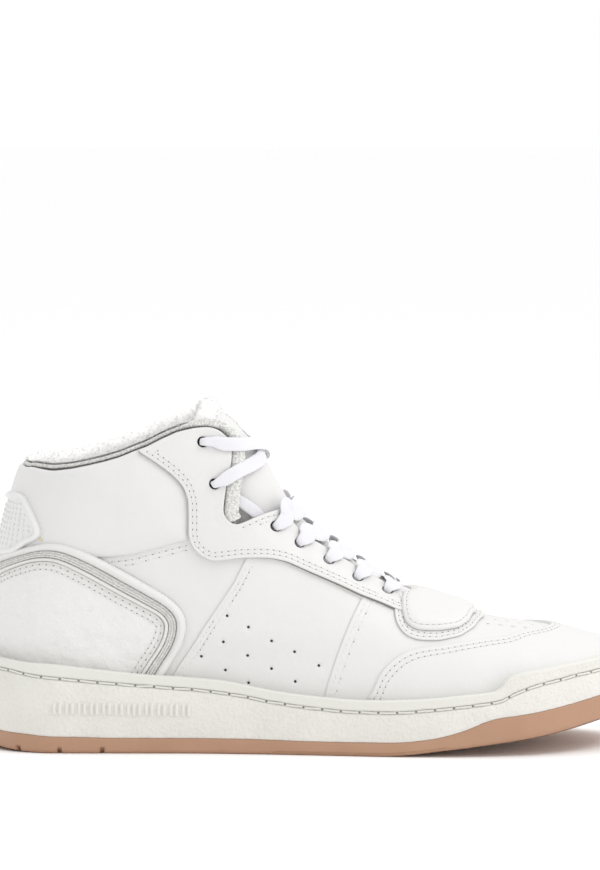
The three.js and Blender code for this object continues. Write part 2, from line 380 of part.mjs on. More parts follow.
for (const [side, word, range] of [[-1, "lateral", LATERAL], [1, "medial", MEDIAL]]) {
  const eye = eyeRegion(range), eyeG = grown(eye, 0.4), holes = drills(side, EYELETS, EYELET_R);
  put("eyestay_" + word, overShell.intersect(eye).subtract(throat).subtract(holes), WHITE_LEATHER);
  put("eyestay_backing_" + word, baseShell.intersect(eye).subtract(throat).subtract(holes), CREAM_LEATHER, 0.13);
  const collar = prism(COLLAR, ...range), collarG = grown(collar, 0.4);
  put("collar_panel_" + word, baseShell.intersect(collar).subtract(eyeG), WHITE_LEATHER);
  const rear = prism([[-170, 78], [-128, 86], [-115, 90], [-91.7, 90], [-50, 98], [-29.4, 92], ...REAR_EDGE, [-170, 5]], ...range);
  put("rear_quarter_" + word, baseShell.intersect(rear).subtract(eyeG).subtract(collarG), WHITE_LEATHER);
  const quarter = prism([...[...REAR_EDGE].reverse().map((p) => [p[0] + 0.45, p[1]]), [-29, 92], [24, 92], ...SIDE_EDGE, [4, 5], [-72, 5]], ...range);
  put("quarter_" + word, baseShell.intersect(quarter).subtract(eyeG).subtract(drills(side, QUARTER_HOLES, 0.75, 4, 5)), WHITE_LEATHER);
  const front = prism([...[...SIDE_EDGE].reverse().map((p) => [p[0] + 0.45, p[1]]), [24, 90], [40, 90], [40, 64], [50, 48], [50, 5], [4, 5]], ...range);
  put("side_panel_" + word, baseShell.intersect(front).subtract(eyeG).subtract(throat), WHITE_LEATHER);
  put("collar_foam_" + word, shell(LINING_OUT + GAP, -GAP).intersect(prism([[-170, 119], [-128, 121.5], [-107, 122.6], [-86, 127.6], [-78, 130], [-67, 124], [-61.5, 114], [-61, 99], [-80, 93], [-100, 91], [-115, 92], [-170, 84]], ...range)), FOAM);
}
const D_front = grown(eyeRegion([-120, 120]), 0.4);
const vampRegion = prism([[50.4, 5], [50.4, 48.2], [40.5, 64.2], [40.5, 100], [170, 100], [170, 5]]);
const toeHoles = [];
for (const [x0, y0, n] of [[76, 0, 6], [77.5, 7.5, 5], [77.5, -7.5, 5], [80, 15, 4], [80, -15, 4]])
  for (let i = 0; i < n; i++) {
    const x = x0 + 6.2 * i, y = lastCentre(x, 50) + y0 * (1 - 0.05 * i);
    toeHoles.push(solid(new THREE.CylinderGeometry(0.75, 0.75, 12, 5).rotateX(Math.PI / 2).translate(x, y, lastTop(x, y))));
  }
put("vamp", baseShell.intersect(vampRegion).subtract(D_front).subtract(throat).subtract(toeHoles.reduce((a, b) => a.add(b))), WHITE_LEATHER);
put("mudguard", overShell.intersect(prism([...MUD_TOP, [170, 60], [170, 5], [25, 5]])).subtract(cupClear), WHITE_LEATHER);
const dLower = prism(D_LOWER);
put("throat_patch_base", shell(OVERLAY_0, OVERLAY_1 - 0.1).intersect(dLower).subtract(D_front).subtract(throat), CREAM_LEATHER);
put("throat_patch", shell(OVERLAY_1 + GAP, OVERLAY_1 + GAP + 2.8).intersect(prism(D_UPPER)).subtract(planPrism([[30, -12], [44, -10], [46, -3], [44, 5], [30, 8]], 40, 120)), WHITE_LEATHER);
put("toe_puff", shell(-1.6, -0.3).intersect(prism([[98, 5], [98, 100], [170, 100], [170, 5]])), STIFFENER, 0.12);
put("heel_counter", shell(-1.8, -0.3).intersect(prism([[-170, 5], [-170, 74], [-118, 76], [-96, 62], [-84, 44], [-80, 5]])), STIFFENER, 0.16);

// lining: a terry sleeve round the ankle, a smooth one under the vamp
const linIn = (x, z) => LINING_IN + (FLAP_LINING_IN - LINING_IN) * smooth(-58, -49.5, x), linOut = (x, z) => LINING_OUT + (FLAP_LINING_OUT - LINING_OUT) * smooth(-58, -49.5, x);
const SLEEVE = [[-170, 125.5], [-128, 128.2], [-115.7, 128], [-107.2, 129], [-100.6, 130.5], [-93, 132.3], [-85.9, 134.2], [-77.9, 137.2], [-73.4, 138.8], [-67.2, 142], [-60.1, 145.1], [-53, 146.7], [-46.7, 147], [-41.6, 145.3], [-37.3, 141.4], [-35.3, 136.4], [-35.3, 131], [-36.2, 124.4], [-37.5, 118], [-38.4, 109.8], [-38.2, 106.8], [-36, 104.2], [-34, 103.1], [-33, 99], [-30, 92], [-14, 88], [-14, 5], [-170, 5]];
const flapHoles = drills(-1, EYELETS.slice(0, 2), EYELET_R + 1.3).add(drills(1, EYELETS.slice(0, 2), EYELET_R + 1.3));
let binding;
const sleeve = shell(linIn, linOut).intersect(prism(SLEEVE)).subtract(planPrism([[-30, -30], [-14, -24], [10, -24], [10, 20], [-14, 20], [-30, 27]], 86, 130)).subtract(flapHoles);
const lowThroat = planPrism([[-20, -30], [10, -27], [45, -25], [57, -20], [62, -8], [62, 4], [57, 14], [45, 18], [10, 20], [-20, 24]], 40, 120);
put("vamp_lining", shell(-3.2, -1.9).intersect(prism([[-13.5, 5], [-13.5, 83.5], [-11, 82], [-4.9, 78.8], [12.9, 71], [30.7, 63], [38, 59.6], [50, 66], [60, 100], [170, 100], [170, 5]])).subtract(lowThroat), TERRY, 0.16);

// ---------- strips laid along a line on the upper ----------
function polyAt(line, n) {
  const c = new THREE.CurvePath();
  for (let i = 0; i < line.length - 1; i++) c.add(new THREE.LineCurve(new THREE.Vector2(...line[i]), new THREE.Vector2(...line[i + 1])));
  return c.getSpacedPoints(n);
}
const section = (k) => { if (k === 4) return [[1, 1], [-1, 1], [-1, -1], [1, -1]]; const a = []; for (let i = 0; i < k; i++) { const t = (2 * Math.PI * i) / k + Math.PI / k; a.push([Math.sign(Math.cos(t)) * Math.abs(Math.cos(t)) ** 0.6, Math.sign(Math.sin(t)) * Math.abs(Math.sin(t)) ** 0.6]); } return a; };
// points: {p, n, w, t}: centre, surface normal, half width, half thickness
function strip(points, sides = 6, closed = false) {
  const sec = section(sides), pos = [], idx = [], n = points.length;
  points.forEach((q, i) => {
    const a = points[Math.max(i - 1, 0)].p, b = points[Math.min(i + 1, n - 1)].p, t = new THREE.Vector3().subVectors(b, a).normalize();
    const w = new THREE.Vector3().crossVectors(t, q.n).normalize(), m = new THREE.Vector3().crossVectors(w, t).normalize();
    for (const s of sec) { const v = q.p.clone().addScaledVector(w, s[0] * q.w).addScaledVector(m, s[1] * q.t); pos.push(v.x, v.y, v.z); }
  });
  for (let i = 0; i < n - 1; i++) for (let k = 0; k < sides; k++) {
    const a = i * sides + k, b = (i + 1) * sides + k, c = (i + 1) * sides + ((k + 1) % sides), d = i * sides + ((k + 1) % sides);
    idx.push(a, b, c, a, c, d);
  }
  for (let k = 1; k < sides - 1; k++) { idx.push(0, k, k + 1); const o = (n - 1) * sides; idx.push(o, o + k + 1, o + k); }
  return solidFrom(pos, idx);
}
// more stations where a line turns round the heel's middle
function withTurn(line) {
  const [x1, z1] = line[1], z0 = line[0][1], y1 = lastHalf(x1, z1), turn = [0.3, 1.3, 3.2].filter((e) => X_BACK(z1) + e < x1 - 0.8).map((e) => { const q = (lastHalf(X_BACK(z1) + e, z1) / y1) ** 2; return [X_BACK(z0 + (z1 - z0) * q) + e, z0 + (z1 - z0) * q]; });
  return [line[0], ...turn, ...line.slice(1)];
}
// a line given for the lateral half, from the heel's middle to its front end, run round both halves
function bothSides(line, offset, w, t) {
  line = withTurn(line);
  const half = (side) => line.map(([x, z]) => (x <= X_BACK(z) + 0.1 ? skin(side, X_BACK(z), z, offset) : skin(side, x, z, offset)));
  const all = [...half(-1).reverse(), ...half(1).slice(1)];
  const mid = line.length - 1;
  all[mid].n.set(-1, 0, 0.15).normalize();
  const curve = new THREE.CatmullRomCurve3(all.map((q) => q.p), false, "centripetal"), normals = new THREE.CatmullRomCurve3(all.map((q) => q.n), false, "centripetal");
  const out = [], N = (all.length - 1) * 1;
  for (let i = 0; i <= N; i++) { const u = i / N; out.push({ p: curve.getPoint(u), n: normals.getPoint(u).normalize(), w, t }); }
  return out;
}
const between = (f, n = 22) => {
  const a = polyAt(ROLL_OUTER.slice(1), n), b = polyAt(BAND_INNER.slice(1), n);
  const line = a.map((p, i) => [p.x + (b[i].x - p.x) * f, p.y + (b[i].y - p.y) * f]);
  const z0 = 83 + (73.2 - 83) * f;
  return [[-150, z0], ...line.filter((p) => p[0] > X_BACK(p[1]) + 5)];
};
put("heel_roll", strip(bothSides(between(0.22), OVERLAY_0 + 1.7, 1.95, 1.55), 6).subtract(cupClear), CREAM_LEATHER);
put("heel_knit_band", strip(bothSides(between(0.66), OVERLAY_0 + 0.95, 1.1, 0.8), 6).subtract(cupClear), KNIT);
put("heel_piping", strip(bothSides(between(0.91), OVERLAY_0 + 0.95, 0.65, 0.8), 6).subtract(cupClear), CREAM_LEATHER);
const offsetLine = (line, d) => line.map((p, i) => { const a = line[Math.max(i - 1, 0)], b = line[Math.min(i + 1, line.length - 1)], t = [b[0] - a[0], b[1] - a[1]], l = Math.hypot(...t); return [p[0] + (t[1] / l) * d, p[1] - (t[0] / l) * d]; });
const heelRegion = [...offsetLine([[-170, 72.6], ...withTurn(between(1.0))], 1.0), [-79, 5], [-170, 5]];
put("heel_panel", overShell.intersect(prism(heelRegion)).subtract(cupClear), TUMBLED);
put("heel_tab", shell(4.0, 6.4).intersect(prism(TAB_OUTLINE)).subtract(grown(shell(5.8, 9).intersect(prism([[-170, 109.5], [-133, 109.6], [-129.8, 111.2], [-128.3, 110.4], [-126.5, 106.4], [-124.2, 99.6], [-138.4, 92], [-147, 88], [-170, 84]])), 0.01)), TAB);
put("heel_tab_backing", shell(1.6, 3.7).intersect(prism([[-170, 110.6], [-133, 110.6], [-129.5, 112.4], [-127.4, 111.4], [-125.3, 107], [-123.2, 100.5], [-123.4, 98.4], [-138.4, 91.2], [-147, 87.4], [-170, 84]])), CREAM_LEATHER);

// knitted edge binding: up the front of each ankle flap and round the top line
{
  const line = [[-130.2, 127.0], [-128, 128.6], [-125, 129.4], [-115.7, 129.1], [-107.2, 130.2], [-100.6, 131.6], [-93, 133.4], [-85.9, 135.4], [-77.9, 138.6], [-73.4, 140.2], [-67.2, 143.4], [-60.1, 146.5], [-53, 148.2], [-46.7, 148.4], [-41, 146.6], [-36.4, 142.4], [-34, 136.6], [-33.9, 131], [-34.8, 124.4], [-36, 118], [-36.6, 110.5]];
  const off = (x) => -2.2 + 2.3 * smooth(-62, -50, x);
  const pts = bothSides(line, 0, 1.1, 1.4);
  pts.forEach((q) => { const d = off(q.p.x); q.p.addScaledVector(q.n, d); const front = smooth(-42, -36, q.p.x) * (1 - smooth(138, 144, q.p.z)); q.w = 1.1 + 0.5 * front; q.t = 1.4 - 0.2 * front; });
  binding = strip(pts, 6);
  put("collar_binding", binding, KNIT);
}
put("collar_lining", sleeve.subtract(grown(binding, GAP)), TERRY, 0.1);

// ---------- the tongue, on its own arch under the eyestays ----------
const T_X = pchip([[0, 54], [1, 46], [2, 36], [3, 26], [4, 15], [5, 4], [6, -6], [7, -13], [8, -18], [9, -23], [10, -30], [11, -37], [12, -42]]);
const T_Z = pchip([[0, 60], [1, 63.4], [2, 69.6], [3, 77], [4, 85.0], [5, 93.4], [6, 102.9], [7, 113.8], [8, 124.2], [9, 132.6], [10, 140.8], [11, 147.8], [12, 152.4]]);
const T_A = pchip([[0, 20], [3, 22], [6, 22], [8, 20.8], [12, 20.6]]), T_B = pchip([[0, 24], [2, 31], [4, 33], [6, 32], [7, 28], [8, 23], [10, 19], [12, 17]]), T_PSI = pchip([[0, 60], [4, 62], [6, 68], [7, 80], [8, 88], [10, 84], [12, 76]]);
function tonguePoint(s, q, d) {
  const h = 0.05, tx = (T_X(s + h) - T_X(s - h)), tz = (T_Z(s + h) - T_Z(s - h)), l = Math.hypot(tx, tz), ux = tx / l, uz = tz / l;
  const nx = uz * -1, nz = ux; // towards the inside of the shoe: the ridge runs back and up
  const psi = rad(T_PSI(s)) * q, a = T_A(s), b = T_B(s), y = a * Math.sin(psi), drop = b * (1 - Math.cos(psi));
  const dy = a * Math.cos(psi), dd = b * Math.sin(psi), m = Math.hypot(dy, dd) || 1, oy = dd / m, on = -dy / m; // outward, across the arch
  const c = lastCentre(clamp(T_X(s), -40, 60), 90);
  return [T_X(s) + nx * (drop + on * d), c + y + oy * d, T_Z(s) + nz * (drop + on * d)];
}
function tongueLayer(s0, s1, q0, d0, d1, ns, nq) {
  const pos = [], idx = [], id = (l, i, j) => (l * (ns + 1) + i) * (nq + 1) + j;
  for (const d of [d0, d1]) for (let i = 0; i <= ns; i++) for (let j = 0; j <= nq; j++) pos.push(...tonguePoint(s0 + ((s1 - s0) * i) / ns, q0 * ((2 * j) / nq - 1), d));
  for (let i = 0; i < ns; i++) for (let j = 0; j < nq; j++) {
    idx.push(id(0, i, j), id(0, i + 1, j), id(0, i + 1, j + 1), id(0, i, j), id(0, i + 1, j + 1), id(0, i, j + 1));
    idx.push(id(1, i, j), id(1, i + 1, j + 1), id(1, i + 1, j), id(1, i, j), id(1, i, j + 1), id(1, i + 1, j + 1));
  }
  for (let i = 0; i < ns; i++) for (const [j, f] of [[0, 1], [nq, 0]]) { const q = [id(0, i, j), id(1, i, j), id(1, i + 1, j), id(0, i + 1, j)]; f ? idx.push(q[0], q[1], q[2], q[0], q[2], q[3]) : idx.push(q[0], q[2], q[1], q[0], q[3], q[2]); }
  for (let j = 0; j < nq; j++) for (const [i, f] of [[0, 0], [ns, 1]]) { const q = [id(0, i, j), id(1, i, j), id(1, i, j + 1), id(0, i, j + 1)]; f ? idx.push(q[0], q[1], q[2], q[0], q[2], q[3]) : idx.push(q[0], q[2], q[1], q[0], q[3], q[2]); }
  return solidFrom(pos, idx);
}
put("tongue_cover", tongueLayer(0.1, 11.6, 1, -1.2, 0, 15, 8), WHITE_LEATHER);
put("tongue_foam", tongueLayer(1.4, 11.4, 0.9, -5.0, -1.78, 12, 8), FOAM);
put("tongue_lining", tongueLayer(1.2, 11.6, 0.97, -6.5, -5.4, 12, 8), TERRY);
{
  const pts = [];
  for (let j = 0; j <= 10; j++) {
    const q = (2 * j) / 10 - 1, c = new THREE.Vector3(...tonguePoint(11.6, q * 0.93, -2.9)), o = new THREE.Vector3(...tonguePoint(11.6, q * 0.93, 0)), up = new THREE.Vector3(...tonguePoint(11.9, q * 0.93, -2.9)).sub(c).normalize();
    const e = 1 - Math.abs(q) ** 3 * 0.45;
    pts.push({ p: c.clone().addScaledVector(up, 5.0 * e + 0.4), n: o.sub(c).normalize(), w: 4.6 * e, t: 3.8 * e });
  }
  put("tongue_top_roll", strip(pts, 8), TERRY);
}

// ---------- the lace: one flat lace, laced straight across in the five lower pairs and crossed over at the top two ----------
const LACE_T = 0.6, FULL = 2.6, NARROW = 1.4;
const V = (p) => new THREE.Vector3(...p);
const tongueN = (s, q) => V(tonguePoint(s, q, 1)).sub(V(tonguePoint(s, q, 0))).normalize();
const sNear = (P) => { let best = 0, d = 1e9; for (let s = 0; s <= 12; s += 0.05) { const e = Math.hypot(T_X(s) - P.x, T_Z(s) - P.z); if (e < d) { d = e; best = s; } } return best; };
const qAtY = (s, y) => Math.asin(clamp(y / T_A(s), -0.98, 0.98)) / rad(T_PSI(s));
// a point of the upper's top by plan position
function skinPlan(x, y, d) {
  const side = y < lastCentre(x, 80) ? -1 : 1;
  let lo = zFeather(x), hi = H_RIDGE(x);
  for (let i = 0; i < 40; i++) { const m = (lo + hi) / 2; if (lastHalf(x, m) > Math.abs(y - lastCentre(x, m))) lo = m; else hi = m; }
  return skin(side, x, lo, d);
}
const TOP_CROSS = 9.15; // where the two top strands cross, along the tongue
function centreOf(k) { return k < 2 ? TOP_CROSS : sNear(skin(-1, ...EYELETS[k], 0).p); }
// knots from inside the upper, out through eyelet k and over to the throat's edge; run is the side-view way the hidden part comes from
function throughEyelet(side, k, run) {
  const [x, z] = EYELETS[k], flap = k < 2, e = skin(side, x, z, 0), N = e.n, low = flap ? -3.0 : -1.4;
  const into = V(tonguePoint(centreOf(k), 0, 0)).sub(e.p), d = into.addScaledVector(N, -into.dot(N)).normalize().negate();
  const r = new THREE.Vector3(run[0], 0, run[1]); r.addScaledVector(N, -r.dot(N)).normalize();
  const at = (u, o, dir) => e.p.clone().addScaledVector(dir, u).addScaledVector(N, o), both = N.clone().add(d).normalize();
  const out = [{ p: at(3.6, low, r), n: N, w: NARROW }, { p: at(0.9, low + 0.55, r), n: both, w: NARROW }, { p: at(0, flap ? 0.6 : 1.3, d), n: d, w: NARROW - 0.1 }, { p: at(0.3, 3.55, d), n: both, w: NARROW - 0.15 }];
  const edge = flap ? [[k ? -39.6 : -41, k ? 122.3 : 137.9, 4.0], [-34.6, k ? 125.2 : 137.2, 3.2]].map((q) => skin(side, ...q))
    : [(() => { const s = centreOf(k), xe = x + 0.36 * (T_X(s) - x); return skinPlan(xe, THROAT_EDGE(xe, side) - 2 * side, k === 2 ? 5.2 : 5.0); })()];
  const half = flap ? skin(side, x + 0.5 * (edge[0].p.x - x), z + 0.5 * (edge[0].p.z - z), 4.0) : skinPlan((x + edge[0].p.x) / 2, 0.45 * e.p.y + 0.55 * (THROAT_EDGE(edge[0].p.x, side) - 1.5 * side), 4.3);
  out.push({ p: half.p, n: half.n, w: NARROW + 0.4 });
  for (const q of edge) out.push({ p: q.p, n: q.n, w: FULL - 0.2 });
  return out;
}
const onTongue = (s, y, h, w) => { const q = qAtY(s, y); return { p: V(tonguePoint(s, q, h)), n: tongueN(s, q), w }; };
const bar = (k, from, r0, r1) => { const s = centreOf(k), y = 0.5 * THROAT_HALF(EYELETS[k][0]); return [...throughEyelet(from, k, r0), onTongue(s, from * y, 1.4, FULL), onTongue(s, 0, 1.25, FULL), onTongue(s, -from * y, 1.4, FULL), ...throughEyelet(-from, k, r1).reverse()]; };
// a hidden run under the eyestay between eyelets, shifted sideways by u so that two runs pass side by side
function hidden(side, k0, k1, u, extra = []) {
  const a = EYELETS[k0], b = EYELETS[k1], out = [];
  for (const f of [0.35, 0.65]) {
    const l = Math.hypot(b[0] - a[0], b[1] - a[1]), nx = -(b[1] - a[1]) / l, nz = (b[0] - a[0]) / l;
    const q = skin(side, a[0] + (b[0] - a[0]) * f + nx * u, a[1] + (b[1] - a[1]) * f + nz * u, -1.45);
    out.push({ p: q.p, n: q.n, w: NARROW });
  }
  return extra.length ? extra.map(([x, z, d, w]) => { const q = skin(side, x, z, d); return { p: q.p, n: q.n, w }; }) : out;
}
const UP = [-1, 0.75], DOWN = [1, -0.6], BACK = [-1, 0.2];
// the free ends hang inside, along the lining
const FREE = [[-52.5, 133.5, -5.4], [-56.5, 125, -6.6], [-60, 115, -7.3], [-61, 102, -7.4], [-61, 88, -7.4], [-61, 74, -7.4]];
function topStrand(side, run, upper) {
  const h = upper ? 2.8 : 1.1, s = TOP_CROSS;
  return [...throughEyelet(side, 1, run), onTongue(s - 0.35, side * 9, h + 0.5, FULL), onTongue(s - 0.1, side * 4, h, FULL), onTongue(s, 0, h, FULL), onTongue(s + 0.1, -side * 4, h, FULL), onTongue(s + 0.3, -side * 9, h + 0.5, FULL),
    ...throughEyelet(-side, 0, [-0.5, -1]).reverse(), ...FREE.map(([x, z, d]) => { const q = skin(-side, x, z, d); return { p: q.p, n: q.n, w: NARROW + 0.2 }; })];
}
const NOTCH = (k) => (k === 3 ? [[-17, 99.8, -1.3, 1.6], [-24, 107, -1.3, 2.4], [-31.5, 112.6, -2.2, 2.2]] : [[-22.5, 105.2, -1.3, 2.2], [-31.5, 112.6, -2.2, 2.2]]);
{
  const half7 = bar(6, -1, UP, UP), mid = Math.floor(half7.length / 2);
  const endA = [...hidden(-1, 6, 5, 0), ...bar(5, -1, DOWN, UP), ...hidden(1, 5, 3, -1.9), ...bar(3, 1, DOWN, UP), ...hidden(-1, 3, 1, 0, NOTCH(3)), ...topStrand(-1, [1, -0.55], false)];
  const endB = [...hidden(1, 6, 4, 1.9), ...bar(4, 1, DOWN, UP), ...hidden(-1, 4, 2, 1.9), ...bar(2, -1, DOWN, BACK), ...hidden(1, 2, 1, 0, NOTCH(2)), ...topStrand(1, [1, -0.55], true)];
  const knots = [...endA.reverse(), ...half7, ...endB];
  const curve = new THREE.CatmullRomCurve3(knots.map((k) => k.p), false, "centripetal"), normal = new THREE.CatmullRomCurve3(knots.map((k) => k.n), false, "centripetal");
  const pts = [], N = knots.length - 1;
  for (let i = 0; i < N; i++) {
    const step = knots[i].p.distanceTo(knots[i + 1].p), m = step > 7 ? 2 : 1;
    for (let j = 0; j < m; j++) { const u = (i + j / m) / N; pts.push({ p: curve.getPoint(u), n: normal.getPoint(u).normalize(), w: knots[i].w * (1 - j / m) + (knots[i + 1].w * j) / m, t: LACE_T }); }
  }
  pts.push({ p: curve.getPoint(1), n: normal.getPoint(1).normalize(), w: NARROW, t: LACE_T });
  put("lace", strip(pts, 4), LACE, 0.03);
  for (const [name, end, prev] of [["aglet_medial", pts[0], pts[1]], ["aglet_lateral", pts[pts.length - 1], pts[pts.length - 2]]]) {
    const t = new THREE.Vector3().subVectors(end.p, prev.p).normalize(), g = new THREE.CylinderGeometry(1.5, 1.5, 18, 8);
    g.applyQuaternion(new THREE.Quaternion().setFromUnitVectors(new THREE.Vector3(0, 1, 0), t));
    const c = end.p.clone().addScaledVector(t, 9.4);
    g.translate(c.x, c.y, c.z);
    put(name, solid(g), TIP);
  }
}

export default root;
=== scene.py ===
import math

import bmesh
import bpy
import numpy as np
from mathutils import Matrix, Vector, geometry


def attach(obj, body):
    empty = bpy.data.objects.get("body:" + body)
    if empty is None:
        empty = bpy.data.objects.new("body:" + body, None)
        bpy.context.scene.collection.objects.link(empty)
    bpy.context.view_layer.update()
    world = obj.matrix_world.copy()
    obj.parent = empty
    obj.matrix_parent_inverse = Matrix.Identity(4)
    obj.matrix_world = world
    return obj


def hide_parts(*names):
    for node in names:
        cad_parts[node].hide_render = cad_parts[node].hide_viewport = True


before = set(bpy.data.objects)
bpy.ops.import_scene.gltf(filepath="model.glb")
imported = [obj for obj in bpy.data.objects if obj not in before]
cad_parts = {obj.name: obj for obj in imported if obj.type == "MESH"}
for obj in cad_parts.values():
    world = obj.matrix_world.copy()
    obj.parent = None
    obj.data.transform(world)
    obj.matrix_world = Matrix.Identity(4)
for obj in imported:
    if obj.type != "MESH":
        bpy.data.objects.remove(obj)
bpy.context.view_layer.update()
RNG = np.random.default_rng(7)


# ------------------------------------------------------------------ surface of the last, in mm
def pchip(table):
    t = np.array(table, float)
    x, y = t[:, 0], t[:, 1]
    h = np.diff(x)
    s = np.diff(y) / h
    d = np.zeros(len(x))
    for i in range(1, len(x) - 1):
        if s[i - 1] * s[i] > 0:
            w1, w2 = 2 * h[i] + h[i - 1], h[i] + 2 * h[i - 1]
            d[i] = (w1 + w2) / (w1 / s[i - 1] + w2 / s[i])
    d[0], d[-1] = s[0], s[-1]

    def f(q):
        q = np.clip(np.asarray(q, float), x[0], x[-1])
        i = np.clip(np.searchsorted(x, q, side="right") - 1, 0, len(x) - 2)
        u = (q - x[i]) / h[i]
        u2, u3 = u * u, u * u * u
        return (2 * u3 - 3 * u2 + 1) * y[i] + (u3 - 2 * u2 + u) * h[i] * d[i] + (3 * u2 - 2 * u3) * y[i + 1] + (u3 - u2) * h[i] * d[i + 1]

    return f


def round_end(t, p):
    t = np.clip(t, 0, 1)
    return (1 - (1 - t) ** p) ** (1 / p)


def smooth(a, b, v):
    t = np.clip((np.asarray(v, float) - a) / (b - a), 0, 1)
    return t * t * (3 - 2 * t)


SOLE_W = pchip([[-150, 39], [-100, 39.2], [-75, 39], [-50, 38.2], [-25, 38.8], [0, 41.3], [25, 45.8], [50, 50.2], [75, 52.2], [95, 51.6], [110, 49.8], [125, 47.4], [150, 45]])
SOLE_C = pchip([[-150, 0], [-100, -0.3], [-75, -0.6], [-50, -1.8], [-25, -3.6], [0, -4.6], [25, -4.2], [50, -2.7], [75, -0.6], [95, 1.4], [110, 3], [125, 4.9], [135, 6], [150, 8]])
Z_BOTTOM = pchip([[-150, 3.2], [-140, 1.4], [-128, 0.3], [-115, 0], [30, 0], [42, 0.7], [56, 2.4], [78, 5.1], [100, 8.2], [110, 9.9], [128, 13.8], [140, 17], [150, 20]])
Z_GUM = pchip([[-150, 9.6], [-138, 8.7], [-128, 8.2], [-118, 7.4], [-105, 7.2], [-87, 6.8], [-32, 6.7], [3, 6.1], [35, 6.2], [50, 7.4], [58, 8.8], [66, 11], [72, 13.1], [78, 15.6], [84, 17.2], [92, 18.2], [100, 19.3], [113, 21.7], [128, 24.8], [140, 27.8], [150, 31]])
Z_STITCH = pchip([[-150, 37.6], [-138, 36.8], [-125, 34.8], [-111, 33.4], [-91, 31.6], [-70, 30], [-50, 28.5], [-32, 26.3], [-19, 23.8], [3, 20.9], [19, 19.8], [35, 19.7], [51, 20.8], [67, 22.4], [78, 23.8], [84.6, 24.9], [91, 28], [100, 31.2], [110, 33.4], [121, 35.4], [129, 36.6], [140, 38.4], [150, 39.6]])
Z_LIP = pchip([[-150, 42.6], [-138, 41.5], [-128, 40.6], [-118, 40.2], [-97, 38], [-77, 35.8], [-56, 34.4], [-40, 33], [-32, 31.6], [-19, 29], [3, 26.4], [24, 25.2], [46, 25.8], [67, 27.7], [82, 29.4], [85, 31.2], [88, 35], [94, 37.6], [105, 39.2], [116, 40.8], [129, 42.6], [140, 44.2], [150, 45.4]])
Z_BOARD = pchip([[-142, 25], [-100, 23.6], [-60, 21.4], [-20, 18], [20, 15.4], [50, 15], [78, 17], [100, 20], [128, 25.6], [142, 29.4]])
X_BACK = pchip([[20, -138.6], [30, -140.2], [41, -141.2], [50, -141.9], [60, -142.2], [70, -141.7], [80, -140.3], [90, -138], [100, -135.3], [110, -132.8], [120, -130.8], [130, -129.6], [140, -129], [180, -128.6]])
H_RIDGE = pchip([[-150, 640], [-100, 440], [-60, 268], [-45, 208], [-36, 178], [-30, 160], [-25, 146], [-20, 133], [-13, 116], [-6, 104], [4, 95.4], [13, 88], [22, 81], [34, 73.2], [42, 68.6], [50, 65], [60, 61.6], [70, 59], [77, 57.4], [88, 55.4], [98, 53.8], [109, 52], [116, 50.2], [123, 47.6], [129, 44.8], [134, 41.4], [138, 37.6], [141.5, 33]])
F_Z = pchip([[15, 1], [41, 1], [55, 1.05], [75, 1.04], [90, 1.03], [105, 1.06], [120, 1.12], [135, 1.14], [180, 1.14]])
F_X = pchip([[-150, 1], [-40, 1], [20, 0.3], [60, 0], [150, 0]])
M_TOP = pchip([[-150, 2.3], [40, 2.3], [90, 2.75], [150, 2.75]])
LAST_INSET, X_FRONT, AXIS_HEEL, AXIS_TOE = 8.5, 141.5, -100.0, 88.0


def sole_half(x):
    return SOLE_W(x) * round_end((x + 150) / 38, 2.1) * round_end((150 - x) / 58, 2.15)


def zf(x):
    return Z_BOARD(x) - 1.5


def last_width(x, z):
    return (SOLE_W(x) - LAST_INSET) * (1 + (F_Z(z) - 1) * F_X(x))


def centre(x, z):
    return SOLE_C(x) * (1 - 0.5 * smooth(30, 110, z))


def last_half(x, z):
    h0 = zf(x)
    r = np.clip((z - h0) / (H_RIDGE(x) - h0), 0, 1)
    ends = round_end((x - X_BACK(z)) / 40, 2.15) * round_end((X_FRONT - x) / 52, 2.2)
    return last_width(x, z) * ends * (1 - r ** M_TOP(x)) ** (1 / 1.9)


def top_half(x):
    return last_width(x, 20.0) * round_end((X_FRONT - x) / 52, 2.2)


def last_top(x, y):
    q = np.clip(np.abs(y - centre(x, 50.0)) / np.maximum(top_half(x), 1e-6), 0, 1)
    return zf(x) + (H_RIDGE(x) - zf(x)) * (1 - q**1.9) ** (1 / M_TOP(x))


# ---- chart "around": a is the way round from the heel's middle (negative on the lateral side), q is the height
HEEL_ARC = 46.0


def heel_radius(al, z):
    lo, hi = np.zeros_like(al), np.full_like(al, 60.0)
    for _ in range(34):
        r = (lo + hi) / 2
        x = AXIS_HEEL - r * np.cos(al)
        ok = (x > X_BACK(z)) & (r * np.sin(al) < last_half(x, z))
        lo, hi = np.where(ok, r, lo), np.where(ok, hi, r)
    return lo


def around(a, z):
    a, z = np.broadcast_arrays(np.asarray(a, float), np.asarray(z, float))
    side = np.where(a < 0, -1.0, 1.0)
    m = np.abs(a)
    al = np.clip(m / HEEL_ARC, 0, 1) * math.pi / 2
    r = heel_radius(al, z)
    xh = AXIS_HEEL - r * np.cos(al)
    xs = AXIS_HEEL + (m - HEEL_ARC)
    heel = m < HEEL_ARC
    x = np.where(heel, xh, xs)
    y = np.where(heel, r * np.sin(al), last_half(np.where(heel, AXIS_HEEL, xs), z))
    return np.stack([x, centre(x, z) + side * y, z], -1)


